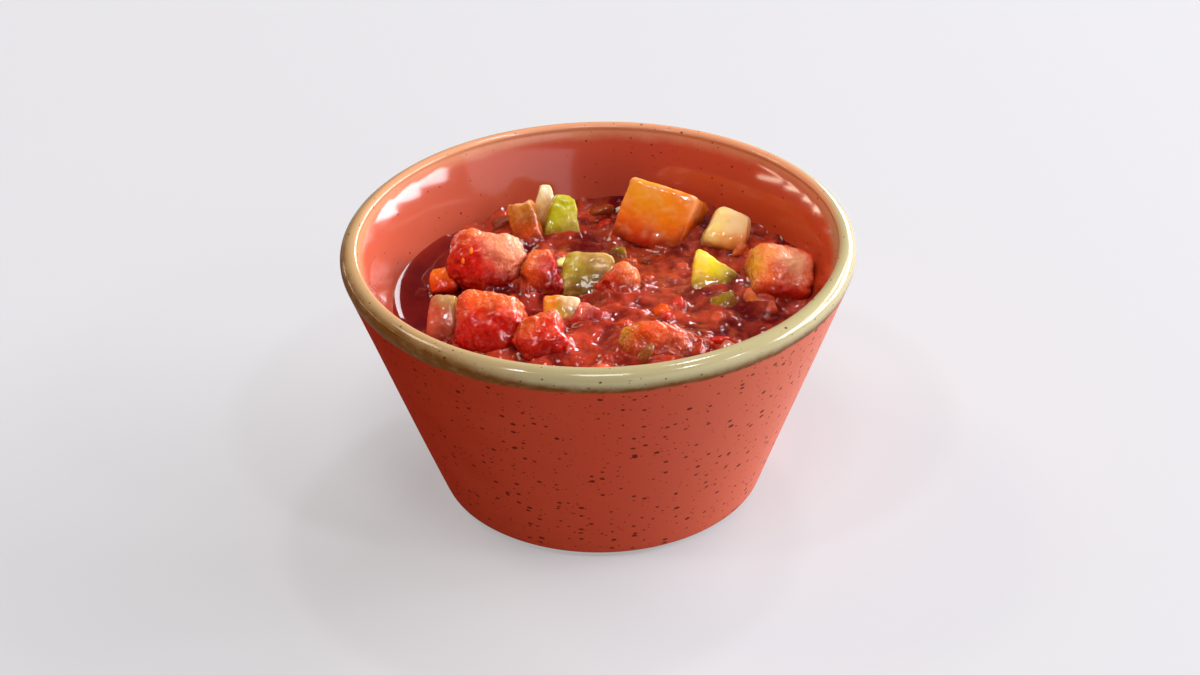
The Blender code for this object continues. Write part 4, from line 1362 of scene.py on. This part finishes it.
class SALSA_OT_bowl(bpy.types.Operator):
    """Make the glazed bowl"""

    bl_idname = "salsa.bowl"
    bl_label = "Bowl"

    def execute(self, context):
        bowl = make_bowl(glaze_material(context.scene.salsa.bowl))
        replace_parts(bowl, "bowl")
        return {"FINISHED"}


class SALSA_OT_tomato(bpy.types.Operator):
    """Make the chunks of tomato"""

    bl_idname = "salsa.tomato"
    bl_label = "Tomato"

    def execute(self, context):
        return make_kinds(context, TOMATO)


class SALSA_OT_squash(bpy.types.Operator):
    """Make the cubes of squash"""

    bl_idname = "salsa.squash"
    bl_label = "Squash"

    def execute(self, context):
        return make_kinds(context, SQUASH)


class SALSA_OT_pepper(bpy.types.Operator):
    """Make the pieces of red, orange, yellow and green pepper"""

    bl_idname = "salsa.pepper"
    bl_label = "Pepper"

    def execute(self, context):
        return make_kinds(context, PEPPER_RED, PEPPER_ORANGE, PEPPER_YELLOW, PEPPER_GREEN)


class SALSA_OT_onion(bpy.types.Operator):
    """Make the pieces of onion"""

    bl_idname = "salsa.onion"
    bl_label = "Onion"

    def execute(self, context):
        return make_kinds(context, ONION)


class SALSA_OT_sauce(bpy.types.Operator):
    """Make the sauce round the pieces"""

    bl_idname = "salsa.sauce"
    bl_label = "Sauce"

    def execute(self, context):
        make_sauce(sauce_material(), context.scene.salsa.sauce)
        return {"FINISHED"}


class SALSA_OT_bits(bpy.types.Operator):
    """Lay seeds and small diced bits on the food"""

    bl_idname = "salsa.bits"
    bl_label = "Bits"

    def execute(self, context):
        make_bits(context.scene.salsa.stage)
        return {"FINISHED"}


class SALSA_OT_stage(bpy.types.Operator):
    """Make the floor, the lights and the camera"""

    bl_idname = "salsa.stage"
    bl_label = "Stage"

    def execute(self, context):
        settings = context.scene.salsa.stage
        make_floor(settings)
        make_world(settings)
        make_lights(settings)
        make_camera(settings)
        context.scene.view_settings.view_transform = "Standard"
        return {"FINISHED"}


class SALSA_PT_panel(bpy.types.Panel):
    """Lists the steps in the sidebar of the 3D view"""

    bl_idname = "SALSA_PT_panel"
    bl_label = "Salsa"
    bl_space_type = "VIEW_3D"
    bl_region_type = "UI"
    bl_category = "Salsa"

    def draw(self, context):
        for operator in OPERATORS:
            self.layout.operator(operator.bl_idname)
        for group in ("bowl", "sauce", "pieces", "stage"):
            settings = getattr(context.scene.salsa, group)
            box = self.layout.box()
            for name in settings.bl_rna.properties.keys():
                if name not in ("rna_type", "name"):
                    box.prop(settings, name)


OPERATORS = (
    SALSA_OT_bowl, SALSA_OT_tomato, SALSA_OT_squash, SALSA_OT_pepper, SALSA_OT_onion, SALSA_OT_sauce,
    SALSA_OT_bits, SALSA_OT_stage,
)
CLASSES = (
    BowlSettings, SauceSettings, PieceSettings, StageSettings, SalsaSettings, *OPERATORS, SALSA_PT_panel,
)


def register():
    """Add the classes and the settings to Blender."""
    for item in CLASSES:
        bpy.utils.register_class(item)
    bpy.types.Scene.salsa = PointerProperty(type=SalsaSettings)


def unregister():
    """Take the classes and the settings out again."""
    del bpy.types.Scene.salsa
    for item in reversed(CLASSES):
        bpy.utils.unregister_class(item)


def main():
    """Make every piece in order."""
    register()
    noise.seed_set(NOISE_SEED)
    bpy.ops.salsa.bowl()
    bpy.ops.salsa.tomato()
    bpy.ops.salsa.squash()
    bpy.ops.salsa.pepper()
    bpy.ops.salsa.onion()
    bpy.ops.salsa.sauce()
    bpy.ops.salsa.bits()
    bpy.ops.salsa.stage()


if __name__ == "__main__":
    main()
